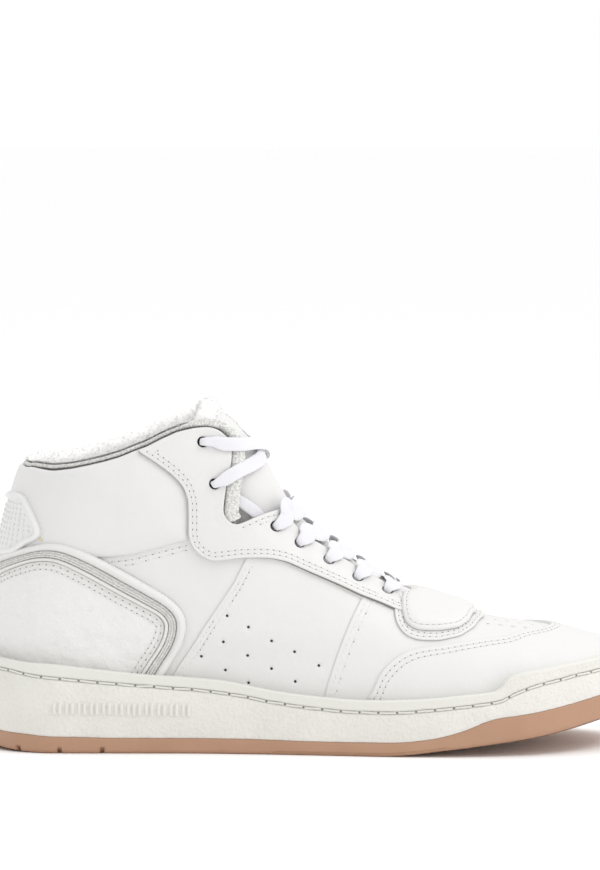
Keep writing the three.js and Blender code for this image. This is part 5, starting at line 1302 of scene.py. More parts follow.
o = panel("visual_heel_panel", around, hp_line, 0.6, 2.0, [TUMBLED, EDGE], relief=heel_relief, step=1.25, rings=(2.4, 3.4, 4.4), edge_r=0.6)
done(o, "upper", ("heel_panel",))
in_line = B[len(B) // 2 :][::4]
for d, pitch, rr in ((1.5, 3.4, 0.3), (3.6, 2.7, 0.25)):
    r1 = shifted(in_line, d)
    c = np.array([-30.0, 45.0])
    if np.linalg.norm(r1 - c, axis=1).mean() > np.linalg.norm(in_line - c, axis=1).mean():
        r1 = shifted(in_line, -d)
    r1 = r1[(r1[:, 0] < -1.0)]
    P = around(r1[:, 0], r1[:, 1])
    r1 = r1[P[:, 2] > lip_z(P[:, 0]) - 0.5]
    sew(around, r1, SURF["visual_heel_panel"], pitch=pitch, r=rr)

# ------------------------------------------------------------------ heel tab: moulded shield with a raised rim and dots
tab_side = [[-133.3, 113.4], [-129.5, 114.8], [-127.3, 114.6], [-125.8, 112.6], [-123.7, 107.4], [-121, 99.6], [-120.6, 97.4], [-122.4, 95.0], [-127.0, 92.6], [-132.0, 90.4], [-136, 88.6]]
th = np.vstack([[[0, 112.8]], [[-8, 112.9]], to_chart(around, tab_side[1:-2]), [[-16, 88.2]], [[-6, 84.8]], [[0, 84.2]]])
th = rounded(th, 0.8, closed=False, passes=1)
th[:, 0] -= 1.6 * smooth(6, 16, -th[:, 0])
tab_line = np.vstack([th, mirrored(around, th)[::-1][1:-1]])
for _ in range(8):
    tab_line = (np.roll(tab_line, 1, 0) + 2 * tab_line + np.roll(tab_line, -1, 0)) / 4


def tab_relief(ab, e):
    return -1.15 * smooth(1.7, 2.3, e) + 0.35 * np.exp(-(((e - 1.0) / 0.6) ** 2)) - 0.2 * smooth(2.4, 7, e)


o = panel("visual_heel_tab", around, tab_line, 1.6, 5.6, [TAB, TAB], relief=tab_relief, step=1.0, rings=(1.7, 2.0, 2.3), edge_r=1.0)
dots_v, dots_f = [], []
for i in range(-14, 15):
    for j in range(0, 13):
        ab = np.array([[i * 2.5, 86.6 + j * 2.3]])
        if inside(tab_line, ab)[0] and dist_to(tab_line, ab)[0] > 3.4:
            P, N = chart_frame(around, ab)
            p, n = P[0], N[0]
            t = np.cross(n, [0, 0, 1.0])
            t /= np.linalg.norm(t)
            b = np.cross(n, t)
            o0 = len(dots_v)
            for rr, hh in ((0.72, 4.0), (0.68, 4.6), (0.45, 4.95)):
                for k in range(10):
                    a = 2 * math.pi * k / 10
                    dots_v.append(p + n * hh + rr * (math.cos(a) * t + math.sin(a) * b))
            dots_v.append(p + n * 5.05)
            for l in range(2):
                for k in range(10):
                    dots_f.append((o0 + l * 10 + k, o0 + l * 10 + (k + 1) % 10, o0 + (l + 1) * 10 + (k + 1) % 10, o0 + (l + 1) * 10 + k))
            for k in range(10):
                dots_f.append((o0 + 20 + k, o0 + 20 + (k + 1) % 10, o0 + 30))
dm = fix_normals(mesh_from("visual_heel_tab_dots", np.array(dots_v), dots_f, [TAB]))
o = join("visual_heel_tab", [o, dm])
done(o, "upper", ("heel_tab",))


# ------------------------------------------------------------------ topline: knitted binding and terry lining
def sweep(name, P, N, W, T, mats, sides=20, power=0.8, relief=None, closed_ends=True, uvs=False):
    """a tube with an elliptical section: W half width across, T half thickness along N"""
    n = len(P)
    tan = np.gradient(P, axis=0)
    tan /= np.maximum(np.linalg.norm(tan, axis=1, keepdims=True), 1e-9)
    w = np.cross(tan, N)
    w /= np.maximum(np.linalg.norm(w, axis=1, keepdims=True), 1e-9)
    m = np.cross(w, tan)
    a = np.linspace(0, 2 * math.pi, sides, endpoint=False)
    ca, sa = np.sign(np.cos(a)) * np.abs(np.cos(a)) ** power, np.sign(np.sin(a)) * np.abs(np.sin(a)) ** power
    s = np.concatenate([[0], np.cumsum(np.linalg.norm(np.diff(P, axis=0), axis=1))])
    k = np.ones((n, sides)) if relief is None else relief(s[:, None], a[None, :])
    V = P[:, None] + w[:, None] * (W[:, None] * ca[None] * 1)[..., None] + m[:, None] * (T[:, None] * sa[None])[..., None]
    if relief is not None:
        nd = w[:, None] * (ca[None] / np.maximum(W[:, None], 0.1))[..., None] + m[:, None] * (sa[None] / np.maximum(T[:, None], 0.1))[..., None]
        nd /= np.maximum(np.linalg.norm(nd, axis=2, keepdims=True), 1e-9)
        V = V + nd * k[..., None]
    V = V.reshape(-1, 3)
    F = []
    for i in range(n - 1):
        for j in range(sides):
            j2 = (j + 1) % sides
            F.append((i * sides + j, i * sides + j2, (i + 1) * sides + j2, (i + 1) * sides + j))
    if closed_ends:
        F.append(tuple(range(sides))[::-1])
        F.append(tuple((n - 1) * sides + j for j in range(sides)))
    o = mesh_from(name, V, F, mats)
    if uvs:
        uv = o.data.uv_layers.new(name="UVMap")
        k = 0
        for poly in o.data.polygons:
            for li in poly.loop_indices:
                v = o.data.loops[li].vertex_index
                i, j = divmod(v, sides)
                uv.data[li].uv = (s[i], W[i] * ca[j])
    return fix_normals(o)


def line3(chart, line, offset, step=1.0):
    """points and normals along a chart line, evenly spaced in mm"""
    P, N = chart_frame(chart, line)
    off = offset if np.ndim(offset) else np.full(len(P), float(offset))
    P = P + N * off[:, None]
    L, at = walk(P, N, step)
    s = np.linspace(0, L, max(int(L / step), 2) + 1)
    p, n = at(s)
    return p, n, s


bl = to_chart(around, [*BINDING[1:-1], [-36.4, 112.0], [-36.9, 107.5], [-35.4, 104.2]])
bl[:, 1] -= 0.4 + 0.9 * (1 - smooth(-60, -46, bl[:, 0] * -1 - 146))
bl = np.vstack([[[0, 127.4]], [[-10, 127.6]], bl])
bl = soft_line(even(bl, 300), 8)
bl[0, 0] = 0
Pb = around(bl[:, 0], bl[:, 1])
bl[:, 0] -= 0.9 * smooth(-46, -40, -bl[:, 0] - 146)
Pb = around(bl[:, 0], bl[:, 1])
off = -1.6 + 2.0 * smooth(-62, -50, Pb[:, 0])
both = np.vstack([mirrored(around, bl)[::-1][:-1], bl])
offb = np.concatenate([off[::-1][:-1], off])
bp, bn, bs = line3(around, both, offb, 0.28)
front = smooth(-44, -37, bp[:, 0]) * (1 - smooth(139, 145, bp[:, 2]))
# the binding folds over the edge: its section stands across the leather, wide on the flap's front
back_run = 1 - smooth(-60, -46, bp[:, 0])
o = sweep("visual_collar_binding", bp, bn, 1.9 + 1.6 * front - 1.15 * back_run, 2.2 - 0.45 * front - 0.8 * back_run, [KNIT], sides=22, power=0.85,
          relief=lambda s, a: 0.16 * np.sin(2 * math.pi * s / 1.25 + 3.0 * a) * np.ones_like(a) + 0.10 * np.cos(11 * a) * np.ones_like(s))
done(o, "upper", ("collar_binding",))

# terry lining: from the binding down into the shoe
NZ = 46
cols = []
tl = np.array([[0, 127.0], *bl[8:].tolist()])
tl = even(tl, 170)
tl = tl[tl[:, 1] > 104]
tl = np.vstack([mirrored(around, tl)[::-1][:-1], tl])
t = np.linspace(0, 1, NZ)
drop = np.concatenate([[0, 0.8, 1.8, 3.0, 4.5, 6.5], np.linspace(9, 74, NZ - 6)])
zz = tl[:, 1][:, None] + 1.9 - 1.1 * smooth(-60, -46, -tl[:, 0] - 146)[:, None] - drop[None, :]
aa = np.repeat(tl[:, 0][:, None], NZ, 1)
ab = np.stack([aa.ravel(), zz.ravel()], -1)
P, N = chart_frame(around, ab)
x = P[:, 0]
deep = -6.4 + 3.9 * smooth(-60, -50, x)
prof = np.interp(drop, [0, 0.8, 1.8, 3.0, 4.5, 6.5, 12, 80], [0.0, 0.45, 0.75, 0.95, 1.06, 1.1, 1.05, 0.9])
dd = -1.6 + (deep + 1.6) * np.tile(prof, len(tl)) + 0.35 * vnoise(P, 2.6, 81) + 0.15 * vnoise(P, 1.3, 82) + 0.5 * vnoise(P, 11, 83)
V = P + N * dd[:, None]
F = []
for i in range(len(tl) - 1):
    for j in range(NZ - 1):
        F.append((i * NZ + j, i * NZ + j + 1, (i + 1) * NZ + j + 1, (i + 1) * NZ + j))
lining = mesh_from("visual_collar_lining", V, F, [TERRY])


def fuzz(name, P, N, count, length, mat, seed=5, width=0.13, zmin=None):
    """short curled loops standing on a surface"""
    rng = np.random.default_rng(seed)
    pick = rng.integers(0, len(P), count)
    p = P[pick] + rng.normal(0, 0.5, (count, 3))
    n = N[pick] + rng.normal(0, 0.45, (count, 3))
    n /= np.linalg.norm(n, axis=1, keepdims=True)
    t = np.cross(n, rng.normal(0, 1, (count, 3)))
    t /= np.linalg.norm(t, axis=1, keepdims=True)
    b = np.cross(n, t)
    V, F = [], []
    hgt = length * (0.5 + 0.8 * rng.random(count))
    ang = np.linspace(0, math.pi, 6)
    for i in range(count):
        o = len(V)
        for a in ang:
            c = p[i] + n[i] * (hgt[i] * math.sin(a)) + t[i] * (hgt[i] * 0.42 * math.cos(a))
            for k in range(3):
                g = 2 * math.pi * k / 3
                rad = n[i] * math.sin(a) + t[i] * math.cos(a)
                V.append(c + width * (math.cos(g) * b[i] + math.sin(g) * rad))
        for j in range(len(ang) - 1):
            for k in range(3):
                F.append((o + j * 3 + k, o + j * 3 + (k + 1) % 3, o + (j + 1) * 3 + (k + 1) % 3, o + (j + 1) * 3 + k))
    return mesh_from(name, np.array(V), F, [mat])


Vg = V.reshape(len(tl), NZ, 3)
gi = np.gradient(Vg, axis=0)
gj = np.gradient(Vg, axis=1)
gn = np.cross(gi, gj)
gn /= np.maximum(np.linalg.norm(gn, axis=2, keepdims=True), 1e-9)
cen = np.array([-85.0, 0, 0])
inw = np.stack([cen[0] - Vg[..., 0], cen[1] - Vg[..., 1], np.full(Vg.shape[:2], 6.0)], -1)
gn *= np.where((gn * inw).sum(-1, keepdims=True) < 0, -1, 1)
top = slice(0, 16)
fz = fuzz("lining_loops", Vg[:, top].reshape(-1, 3), gn[:, top].reshape(-1, 3), 7000, 0.3, TERRY, width=0.17)
o = join("visual_collar_lining", [fix_normals(lining), fz])
done(o, "upper", ("collar_lining",))

# ------------------------------------------------------------------ tongue
T_X = pchip([[0, 54], [1, 46], [2, 36], [3, 26], [4, 15], [5, 4], [6, -6], [7, -13], [8, -18], [9, -23], [10, -30], [11, -37], [12, -42]])
T_Z = pchip([[0, 60], [1, 63.4], [2, 69.6], [3, 77], [4, 85], [5, 93.4], [6, 102.9], [7, 113.8], [8, 124.2], [9, 132.6], [10, 140.8], [11, 147.8], [12, 152.4]])
T_A = pchip([[0, 20], [3, 22], [6, 22], [8, 20.8], [12, 20.6]])
T_B = pchip([[0, 24], [2, 31], [4, 33], [6, 32], [7, 28], [8, 23], [10, 19], [12, 17]])
T_PSI = pchip([[0, 60], [4, 62], [6, 68], [7, 80], [8, 88], [10, 84], [12, 76]])


def tongue_point(s, q, d):
    s, q, d = np.broadcast_arrays(np.asarray(s, float), np.asarray(q, float), np.asarray(d, float))
    h = 0.05
    tx, tz = T_X(s + h) - T_X(s - h), T_Z(s + h) - T_Z(s - h)
    l = np.hypot(tx, tz)
    ux, uz = tx / l, tz / l
    nx, nz = -uz, ux
    psi = np.radians(T_PSI(s)) * q
    a, b = T_A(s), T_B(s)
    y, dr = a * np.sin(psi), b * (1 - np.cos(psi))
    dy, dd = a * np.cos(psi), b * np.sin(psi)
    m = np.hypot(dy, dd)
    m = np.where(m == 0, 1, m)
    oy, on = dd / m, -dy / m
    c = centre(np.clip(T_X(s), -40, 60), 90.0)
    return np.stack([T_X(s) + nx * (dr + on * d), c + y + oy * d, T_Z(s) + nz * (dr + on * d)], -1)


NSG, NQG = 220, 70
s = np.linspace(0.15, 11.72, NSG)
q = np.linspace(-1, 1, NQG)
S, Q = np.meshgrid(s, q, indexing="ij")
P0 = tongue_point(S, Q, 0 * S)
edge_fall = -1.6 * (np.abs(Q) ** 10)
soft = 0.5 * vnoise(P0.reshape(-1, 3), 14, 91).reshape(S.shape) + 0.25 * vnoise(P0.reshape(-1, 3), 6, 92).reshape(S.shape)
puff = 0.5 * np.clip(1 - np.abs(Q) ** 3, 0, 1)
D = edge_fall + soft * 0.6 + puff * 0.6 - 0.2 + 1.0 * (1 - smooth(6.6, 8.2, S)) * smooth(0.5, 1.5, S) * (1 - np.abs(Q) ** 4)
D -= 0.3 * np.exp(-(((S - 11.15) / 0.06) ** 2))
top_p = tongue_point(S, Q, D)
bot_p = tongue_point(S, Q, D * 0 - 1.5)
V = np.vstack([top_p.reshape(-1, 3), bot_p.reshape(-1, 3)])
F = []
M = NSG * NQG
for i in range(NSG - 1):
    for j in range(NQG - 1):
        a = i * NQG + j
        F.append((a, a + 1, a + NQG + 1, a + NQG))
        F.append((M + a, M + a + NQG, M + a + NQG + 1, M + a + 1))
for i in range(NSG - 1):
    for j, fl in ((0, 0), (NQG - 1, 1)):
        a = i * NQG + j
        F.append((a, a + NQG, M + a + NQG, M + a) if not fl else (a, M + a, M + a + NQG, a + NQG))
for j in range(NQG - 1):
    for i, fl in ((0, 0), (NSG - 1, 1)):
        a = i * NQG + j
        F.append((a, M + a, M + a + 1, a + 1) if not fl else (a, a + 1, M + a + 1, M + a))
o = fix_normals(mesh_from("visual_tongue_cover", V, F, [LEATHER]))
done(o, "tongue", ("tongue_cover",))

# its terry back, and the fluffy roll that wraps its tip
s = np.linspace(1.2, 11.7, 120)
q = np.linspace(-0.98, 0.98, 60)
S, Q = np.meshgrid(s, q, indexing="ij")
P0 = tongue_point(S, Q, -6.4 + 4.2 * np.abs(Q) ** 8)
n3 = P0.reshape(-1, 3)
D = -6.4 + 4.2 * np.abs(Q) ** 8 + (0.4 * vnoise(n3, 2.4, 93) + 0.3 * vnoise(n3, 1.2, 94)).reshape(S.shape)
Vt = tongue_point(S, Q, D)
F = [(i * 60 + j, (i + 1) * 60 + j, (i + 1) * 60 + j + 1, i * 60 + j + 1) for i in range(119) for j in range(59)]
o = mesh_from("visual_tongue_lining", Vt.reshape(-1, 3), F, [TERRY])
done(o, "tongue", ("tongue_lining",))

qs = np.linspace(-0.93, 0.93, 150)
e = 1 - np.abs(qs / 0.93) ** 3 * 0.45
c0, o0, u0 = tongue_point(11.6, qs, -2.9), tongue_point(11.6, qs, 0.0), tongue_point(11.9, qs, -2.9)
up = u0 - c0
up /= np.linalg.norm(up, axis=1, keepdims=True)
nn = o0 - c0
nn /= np.linalg.norm(nn, axis=1, keepdims=True)
cc = c0 + up * (4.4 * e + 0.3)[:, None]
roll = sweep("visual_tongue_top_roll", cc, nn, 5.0 * e, 4.3 * e, [TERRY], sides=64, power=0.95,
             relief=lambda s, a: (0.3 * vnoise(np.stack([s + 0 * a, np.cos(a) * 4.6 + 0 * s, np.sin(a) * 4 + 0 * s], -1).reshape(-1, 3), 2.2, 95) + 0.12 * vnoise(np.stack([s + 0 * a, np.cos(a) * 4.6 + 0 * s, np.sin(a) * 4 + 0 * s], -1).reshape(-1, 3), 1.0, 96)).reshape((s + a).shape))
rv = np.array([v.co[:] for v in roll.data.vertices]) / SCALE
rn = np.array([v.normal[:] for v in roll.data.vertices])
fz = fuzz("roll_loops", rv, rn, 1500, 0.3, TERRY, seed=9, width=0.17)
o = join("visual_tongue_top_roll", [roll, fz])
done(o, "tongue", ("tongue_top_roll",))


# ------------------------------------------------------------------ lace, on the same route as the part's
def skin(side, x, z, d=0.0):
    def f(a, b):
        return float(centre(a, b) + side * last_half(a, b))

    h = 0.25
    n = np.array([-side * (f(x + h, z) - f(x - h, z)) / (2 * h), side, -side * (f(x, z + h) - f(x, z - h)) / (2 * h)])
    n /= np.linalg.norm(n)
    if x <= float(X_BACK(z)) + 0.05:
        n = np.array([-1.0, 0, 0])
    return np.array([x, f(x, z), z]) + n * d, n


def skin_plan(x, y, d):
    side = -1 if y < float(centre(x, 80)) else 1
    lo, hi = float(zf(x)), float(H_RIDGE(x))
    for _ in range(40):
        m = (lo + hi) / 2
        if float(last_half(x, m)) > abs(y - float(centre(x, m))):
            lo = m
        else:
            hi = m
    return skin(side, x, lo, d)


def throat_edge(x, side):
    return float(centre(x, 80)) + side * (float(THROAT_HALF(x)) + (float(smooth(10, -6, x)) if side > 0 else 0))


def unit(v):
    return v / np.linalg.norm(v)


def tp(s, q, d):
    return tongue_point(s, q, d).reshape(3)


def tongue_n(s, q):
    return unit(tp(s, q, 1) - tp(s, q, 0))


def s_near(P):
    ss = np.arange(0, 12.001, 0.02)
    return float(ss[np.argmin(np.hypot(T_X(ss) - P[0], T_Z(ss) - P[2]))])


def q_at_y(s, y):
    return math.asin(max(min(y / float(T_A(s)), 0.98), -0.98)) / math.radians(float(T_PSI(s)))


TOP_CROSS = 9.15
FULL, NARROW, TOPW = 4.55, 1.6, 3.35


def centre_of(k):
    return TOP_CROSS if k < 2 else s_near(skin(-1, *EYELETS[k])[0]) - (0.3 if k > 2 else 0)


def through_eyelet(side, k, run):
    x, z = EYELETS[k]
    flap = k < 2
    e, N = skin(side, x, z)
    low = -3.0 if flap else -1.4
    d = tp(centre_of(k), 0, 0) - e
    d = -unit(d - N * d.dot(N))
    r = np.array([run[0], 0, run[1]], float)
    r = unit(r - N * r.dot(N))
    both = unit(N + d)
    out = [(e + r * 3.6 + N * low, N, NARROW), (e + r * 0.9 + N * (low + 0.55), both, NARROW), (e + N * (0.6 if flap else 1.3), d, NARROW - 0.1), (e + d * 0.3 + N * (3.7 if side < 0 or flap else 3.1), both, NARROW + (0.05 if flap else 0.5))]
    if flap:
        edge = [skin(side, *q) for q in ([-39.6 if k else -41, 122.3 if k else 137.9, 4.2], [-34.6, 125.2 if k else 137.2, 3.5])]
        half = skin(side, x + 0.5 * (edge[0][0][0] - x), z + 0.5 * (edge[0][0][2] - z), 4.2)
    else:
        s = centre_of(k)
        d = unit(d + np.array([0.35 if k > 2 else 0, 0, 0]))
        xe = x + 0.36 * (float(T_X(s)) - x)
        edge = [skin_plan(xe, throat_edge(xe, side) - 2 * side, 4.3 if k == 2 else 4.0)]
        half = skin_plan((x + edge[0][0][0]) / 2, 0.45 * e[1] + 0.55 * (throat_edge(edge[0][0][0], side) - 1.5 * side), 4.4)
    out.append((half[0], half[1], NARROW + (0.85 if flap else 2.4)))
    for p, n in edge:
        out.append((p, n, TOPW - 0.2 if flap else FULL - 0.15))
    return out


def on_tongue(s, y, h, w):
    q = q_at_y(s, y)
    return tp(s, q, h), tongue_n(s, q), w


def bar(k, frm, r0, r1):
    s, y = centre_of(k), 0.5 * float(THROAT_HALF(EYELETS[k][0]))
    return through_eyelet(frm, k, r0) + [on_tongue(s, frm * y, 3.8, 4.8), on_tongue(s, 0, 4.2, 4.9), on_tongue(s, -frm * y, 3.8, 4.8)] + through_eyelet(-frm, k, r1)[::-1]


def hidden(side, k0, k1, u, extra=()):
    a, b, out = EYELETS[k0], EYELETS[k1], []
    if extra:
        for x, z, d, w in extra:
            p, n = skin(side, x, z, d)
            out.append((p, n, w))
        return out
    l = math.hypot(b[0] - a[0], b[1] - a[1])
    nx, nz = -(b[1] - a[1]) / l, (b[0] - a[0]) / l
    for f in (0.35, 0.65):
        p, n = skin(side, a[0] + (b[0] - a[0]) * f + nx * u, a[1] + (b[1] - a[1]) * f + nz * u, -1.45)
        out.append((p, n, NARROW))
    return out


UP, DOWN, BACK = (-1, 0.75), (1, -0.6), (-1, 0.2)
FREE = [[-52.5, 133.5, -6.4], [-56.5, 125, -8.0], [-60, 115, -9.0], [-61, 102, -9.4], [-61, 88, -9.4], [-61, 74, -9.4]]


def top_strand(side, run, upper):
    h, s = (3.0 if upper else 1.3), TOP_CROSS
    mid = [on_tongue(s - 0.35, side * 9, h + 0.5, TOPW), on_tongue(s - 0.1, side * 4, h, TOPW), on_tongue(s, 0, h, TOPW), on_tongue(s + 0.1, -side * 4, h, TOPW), on_tongue(s + 0.3, -side * 9, h + 0.5, TOPW)]
    tail = []
    for x, z, d in FREE:
        p, n = skin(-side, x, z, d)
        tail.append((p, n, NARROW + 1.0))
    return through_eyelet(side, 1, run) + mid + through_eyelet(-side, 0, (-0.5, -1))[::-1] + tail


def notch(k):
    return [[-17, 99.8, -1.3, 1.8], [-24, 107, -1.3, 2.9], [-31.5, 112.6, -2.2, 2.5]] if k == 3 else [[-22.5, 105.2, -1.3, 2.4], [-31.5, 112.6, -2.2, 2.4]]


half7 = bar(6, -1, UP, UP)
endA = hidden(-1, 6, 5, 0) + bar(5, -1, DOWN, UP) + hidden(1, 5, 3, -1.9) + bar(3, 1, DOWN, UP) + hidden(-1, 3, 1, 0, notch(3)) + top_strand(-1, (1, -0.55), False)
endB = hidden(1, 6, 4, 1.9) + bar(4, 1, DOWN, UP) + hidden(-1, 4, 2, 1.9) + bar(2, -1, DOWN, BACK) + hidden(1, 2, 1, 0, notch(2)) + top_strand(1, (1, -0.55), True)
knots = endA[::-1] + half7 + endB
KP, KN, KW = (np.array([k[i] for k in knots]) for i in range(3))


def catmull(P, per):
    """centripetal Catmull-Rom through P"""
    n = len(P)
    out = []
    for i in range(n - 1):
        p1, p2 = P[i], P[i + 1]
        p0 = P[i - 1] if i > 0 else 2 * p1 - p2
        p3 = P[i + 2] if i < n - 2 else 2 * p2 - p1
        d0, d1, d2 = (max(np.sum((a - b) ** 2) ** 0.25, 1e-4) for a, b in ((p0, p1), (p1, p2), (p2, p3)))
        if d0 < 1e-3:
            d0 = d1
        if d2 < 1e-3:
            d2 = d1
        t1 = ((p1 - p0) / d0 - (p2 - p0) / (d0 + d1) + (p2 - p1) / d1) * d1
        t2 = ((p2 - p1) / d1 - (p3 - p1) / (d1 + d2) + (p3 - p2) / d2) * d1
        u = np.linspace(0, 1, per, endpoint=False)[:, None]
        out.append(p1 + t1 * u + (-3 * p1 + 3 * p2 - 2 * t1 - t2) * u**2 + (2 * p1 - 2 * p2 + t1 + t2) * u**3)
    return np.vstack([*out, P[-1:]])


PER = 16
LP, LN = catmull(KP, PER), catmull(KN, PER)
LN /= np.maximum(np.linalg.norm(LN, axis=1, keepdims=True), 1e-9)
LW = np.interp(np.arange(len(LP)) / PER, np.arange(len(KW)), KW)
# even spacing along the lace
seg = np.concatenate([[0], np.cumsum(np.linalg.norm(np.diff(LP, axis=0), axis=1))])
LACE_LENGTH = seg[-1]
ss = np.linspace(0, seg[-1], int(seg[-1] / 0.55))
LP = np.stack([np.interp(ss, seg, LP[:, k]) for k in range(3)], -1)
LN = np.stack([np.interp(ss, seg, LN[:, k]) for k in range(3)], -1)
LW = np.interp(ss, seg, LW)
LN /= np.linalg.norm(LN, axis=1, keepdims=True)
for _ in range(3):
    LW = np.concatenate([LW[:1], (LW[:-2] + 2 * LW[1:-1] + LW[2:]) / 4, LW[-1:]])


def lace_mesh():
    n, k = len(LP), 29
    tan = np.gradient(LP, axis=0)
    tan /= np.maximum(np.linalg.norm(tan, axis=1, keepdims=True), 1e-9)
    w = np.cross(tan, LN)
    w /= np.maximum(np.linalg.norm(w, axis=1, keepdims=True), 1e-9)
    m = np.cross(w, tan)
    v = np.linspace(-1, 1, k)
    rows = []
    tube = np.clip((FULL - LW) / (FULL - NARROW), 0, 1)  # 1 where it is folded through a hole
    for sgn in (1, -1):
        thick = 0.62 * np.sqrt(np.maximum(1 - np.abs(v) ** 4, 0))[None, :] * (1 + 0.9 * tube[:, None] * (1 - v[None, :] ** 2))
        herring = 0.07 * np.sin(2 * math.pi * (ss[:, None] / 1.05 + sgn * np.abs(v)[None, :] * LW[:, None] / 1.3)) * (1 - np.abs(v)[None, :] ** 6)
        ribs = 0.05 * np.cos(2 * math.pi * v[None, :] * LW[:, None] / 0.9)
        wave = 0.22 * np.sin(v * 2.2)[None, :] * np.sin(ss / 6.1)[:, None] * (1 - tube[:, None])
        hgt = sgn * (thick + herring + ribs * 0.6) + wave + 0.5 * (tube[:, None]) * (v[None, :] ** 2 - 0.3)
        rows.append(LP[:, None] + w[:, None] * (LW[:, None] * v[None])[..., None] + m[:, None] * hgt[..., None])
    V = np.vstack([rows[0].reshape(-1, 3), rows[1].reshape(-1, 3)])
    M, F = n * k, []
    for i in range(n - 1):
        for j in range(k - 1):
            a = i * k + j
            F.append((a, a + 1, a + k + 1, a + k))
            F.append((M + a, M + a + k, M + a + k + 1, M + a + 1))
        for j in (0, k - 1):
            a = i * k + j
            F.append((a, a + k, M + a + k, M + a))
    for i in (0, n - 1):
        for j in range(k - 1):
            a = i * k + j
            F.append((a, a + 1, M + a + 1, M + a))
    return fix_normals(mesh_from("visual_lace", V, F, [LACEM]))


done(lace_mesh(), "upper", ("lace",))
for name, a, b in (("medial", LP[0], LP[3]), ("lateral", LP[-1], LP[-4])):
    t = unit(a - b)
    steps = np.linspace(-1.0, 18.4, 40)
    P = a + t * steps[:, None]
    nrm = unit(np.cross(t, [0, 1.0, 0.2]))
    prof = 1.5 * np.clip(1 - ((steps - 17.2).clip(0) / 1.25) ** 2, 0.05, 1) ** 0.5
    ob = sweep("visual_aglet_" + name, P, np.tile(nrm, (40, 1)), prof, prof, [TIP], sides=20, power=1.0)
    done(ob, "upper", ("aglet_" + name,))
# eyelet holes: the dark inside of each hole, behind the lace, painted as discs of shade
for chart_c in (eye_c,):
    for side, word in ((-1, "lateral"), (1, "medial")):
        shade_discs("visual_eyelet_insides_" + word, rise[side], [tuple(c) for c in chart_c], HOLE_R + 0.1, 1.2, HOLE_INSIDE_SHADE, 0.9)


# ------------------------------------------------------------------ sole
def outline_points(n=520):
    t = np.linspace(0, 2 * math.pi, n, endpoint=False)
    # x by angle, so that the ends are well covered
    xs = -150 * np.cos(t / 1.0)
    out = []
    for a, x in zip(t, xs):
        side = -1 if a < math.pi else 1
        out.append((x, float(SOLE_C(x)) + side * float(sole_half(x))))
    return even_loop(np.array(out), n)


def even_loop(P, n):
    Q = np.vstack([P, P[:1]])
    s = np.concatenate([[0], np.cumsum(np.linalg.norm(np.diff(Q, axis=0), axis=1))])
    u = np.linspace(0, s[-1], n, endpoint=False)
    return np.stack([np.interp(u, s, Q[:, 0]), np.interp(u, s, Q[:, 1])], -1)


OL = outline_points(1400)
t = np.roll(OL, -1, 0) - np.roll(OL, 1, 0)
t /= np.linalg.norm(t, axis=1, keepdims=True)
OIN = np.stack([-t[:, 1], t[:, 0]], -1)
for _ in range(20):
    OIN = (np.roll(OIN, 1, 0) + 2 * OIN + np.roll(OIN, -1, 0)) / 4
OIN /= np.linalg.norm(OIN, axis=1, keepdims=True)
OX = np.clip(OL[:, 0], -150, 150)
OS = np.concatenate([[0], np.cumsum(np.linalg.norm(np.diff(OL, axis=0), axis=1))])
gum_top = np.maximum(Z_GUM(OX), Z_BOTTOM(OX) + 5.7)


def rim(d, z):
    d = np.broadcast_to(d, OX.shape)
    p = OL + OIN * d[:, None]
    return np.column_stack([p, np.broadcast_to(z, OX.shape)])


def lofted(name, loops, mats, mat_of=None, cap_bottom=False, cap_top=False):
    n = len(loops[0])
    V = np.vstack(loops)
    F, M = [], []
    for k in range(len(loops) - 1):
        for i in range(n):
            i2 = (i + 1) % n
            F.append((k * n + i, k * n + i2, (k + 1) * n + i2, (k + 1) * n + i))
            M.append(mat_of(k) if mat_of else 0)
    return mesh_from(name, V, F, mats, M)


zb = Z_BOTTOM(OX)
# gum wall: rounded bottom edge, three notches at the heel, then the underside as a grid
loops = []
prof = [(1.7, 0.0), (1.15, 0.15), (0.7, 0.45), (0.3, 0.95), (0.06, 1.6)]
NOTCHES = (-131.5, -112.8, -93.4)
cut = np.zeros(len(OX))
for nx_ in NOTCHES:
    cut = np.maximum(cut, 1 - smooth(0.75, 1.15, np.abs(OX - nx_)))
for d, z in prof:
    loops.append(rim(d + cut * 2.2, zb + z))
h = gum_top - zb
for f in np.linspace(0.25, 1.0, 9):
    dz = np.maximum(1.6, f * h)
    c = cut * (1 - smooth(2.2, 2.7, dz))
    loops.append(rim(0.02 + 0.12 * f + c * 2.2, zb + dz - (0.35 if f > 0.99 else 0) * 0))
loops.append(rim(0.35, gum_top + 0.12))
loops.append(rim(1.2, gum_top + 0.2))
gum_wall = fix_normals(lofted("gum_wall", loops, [GUMM]))
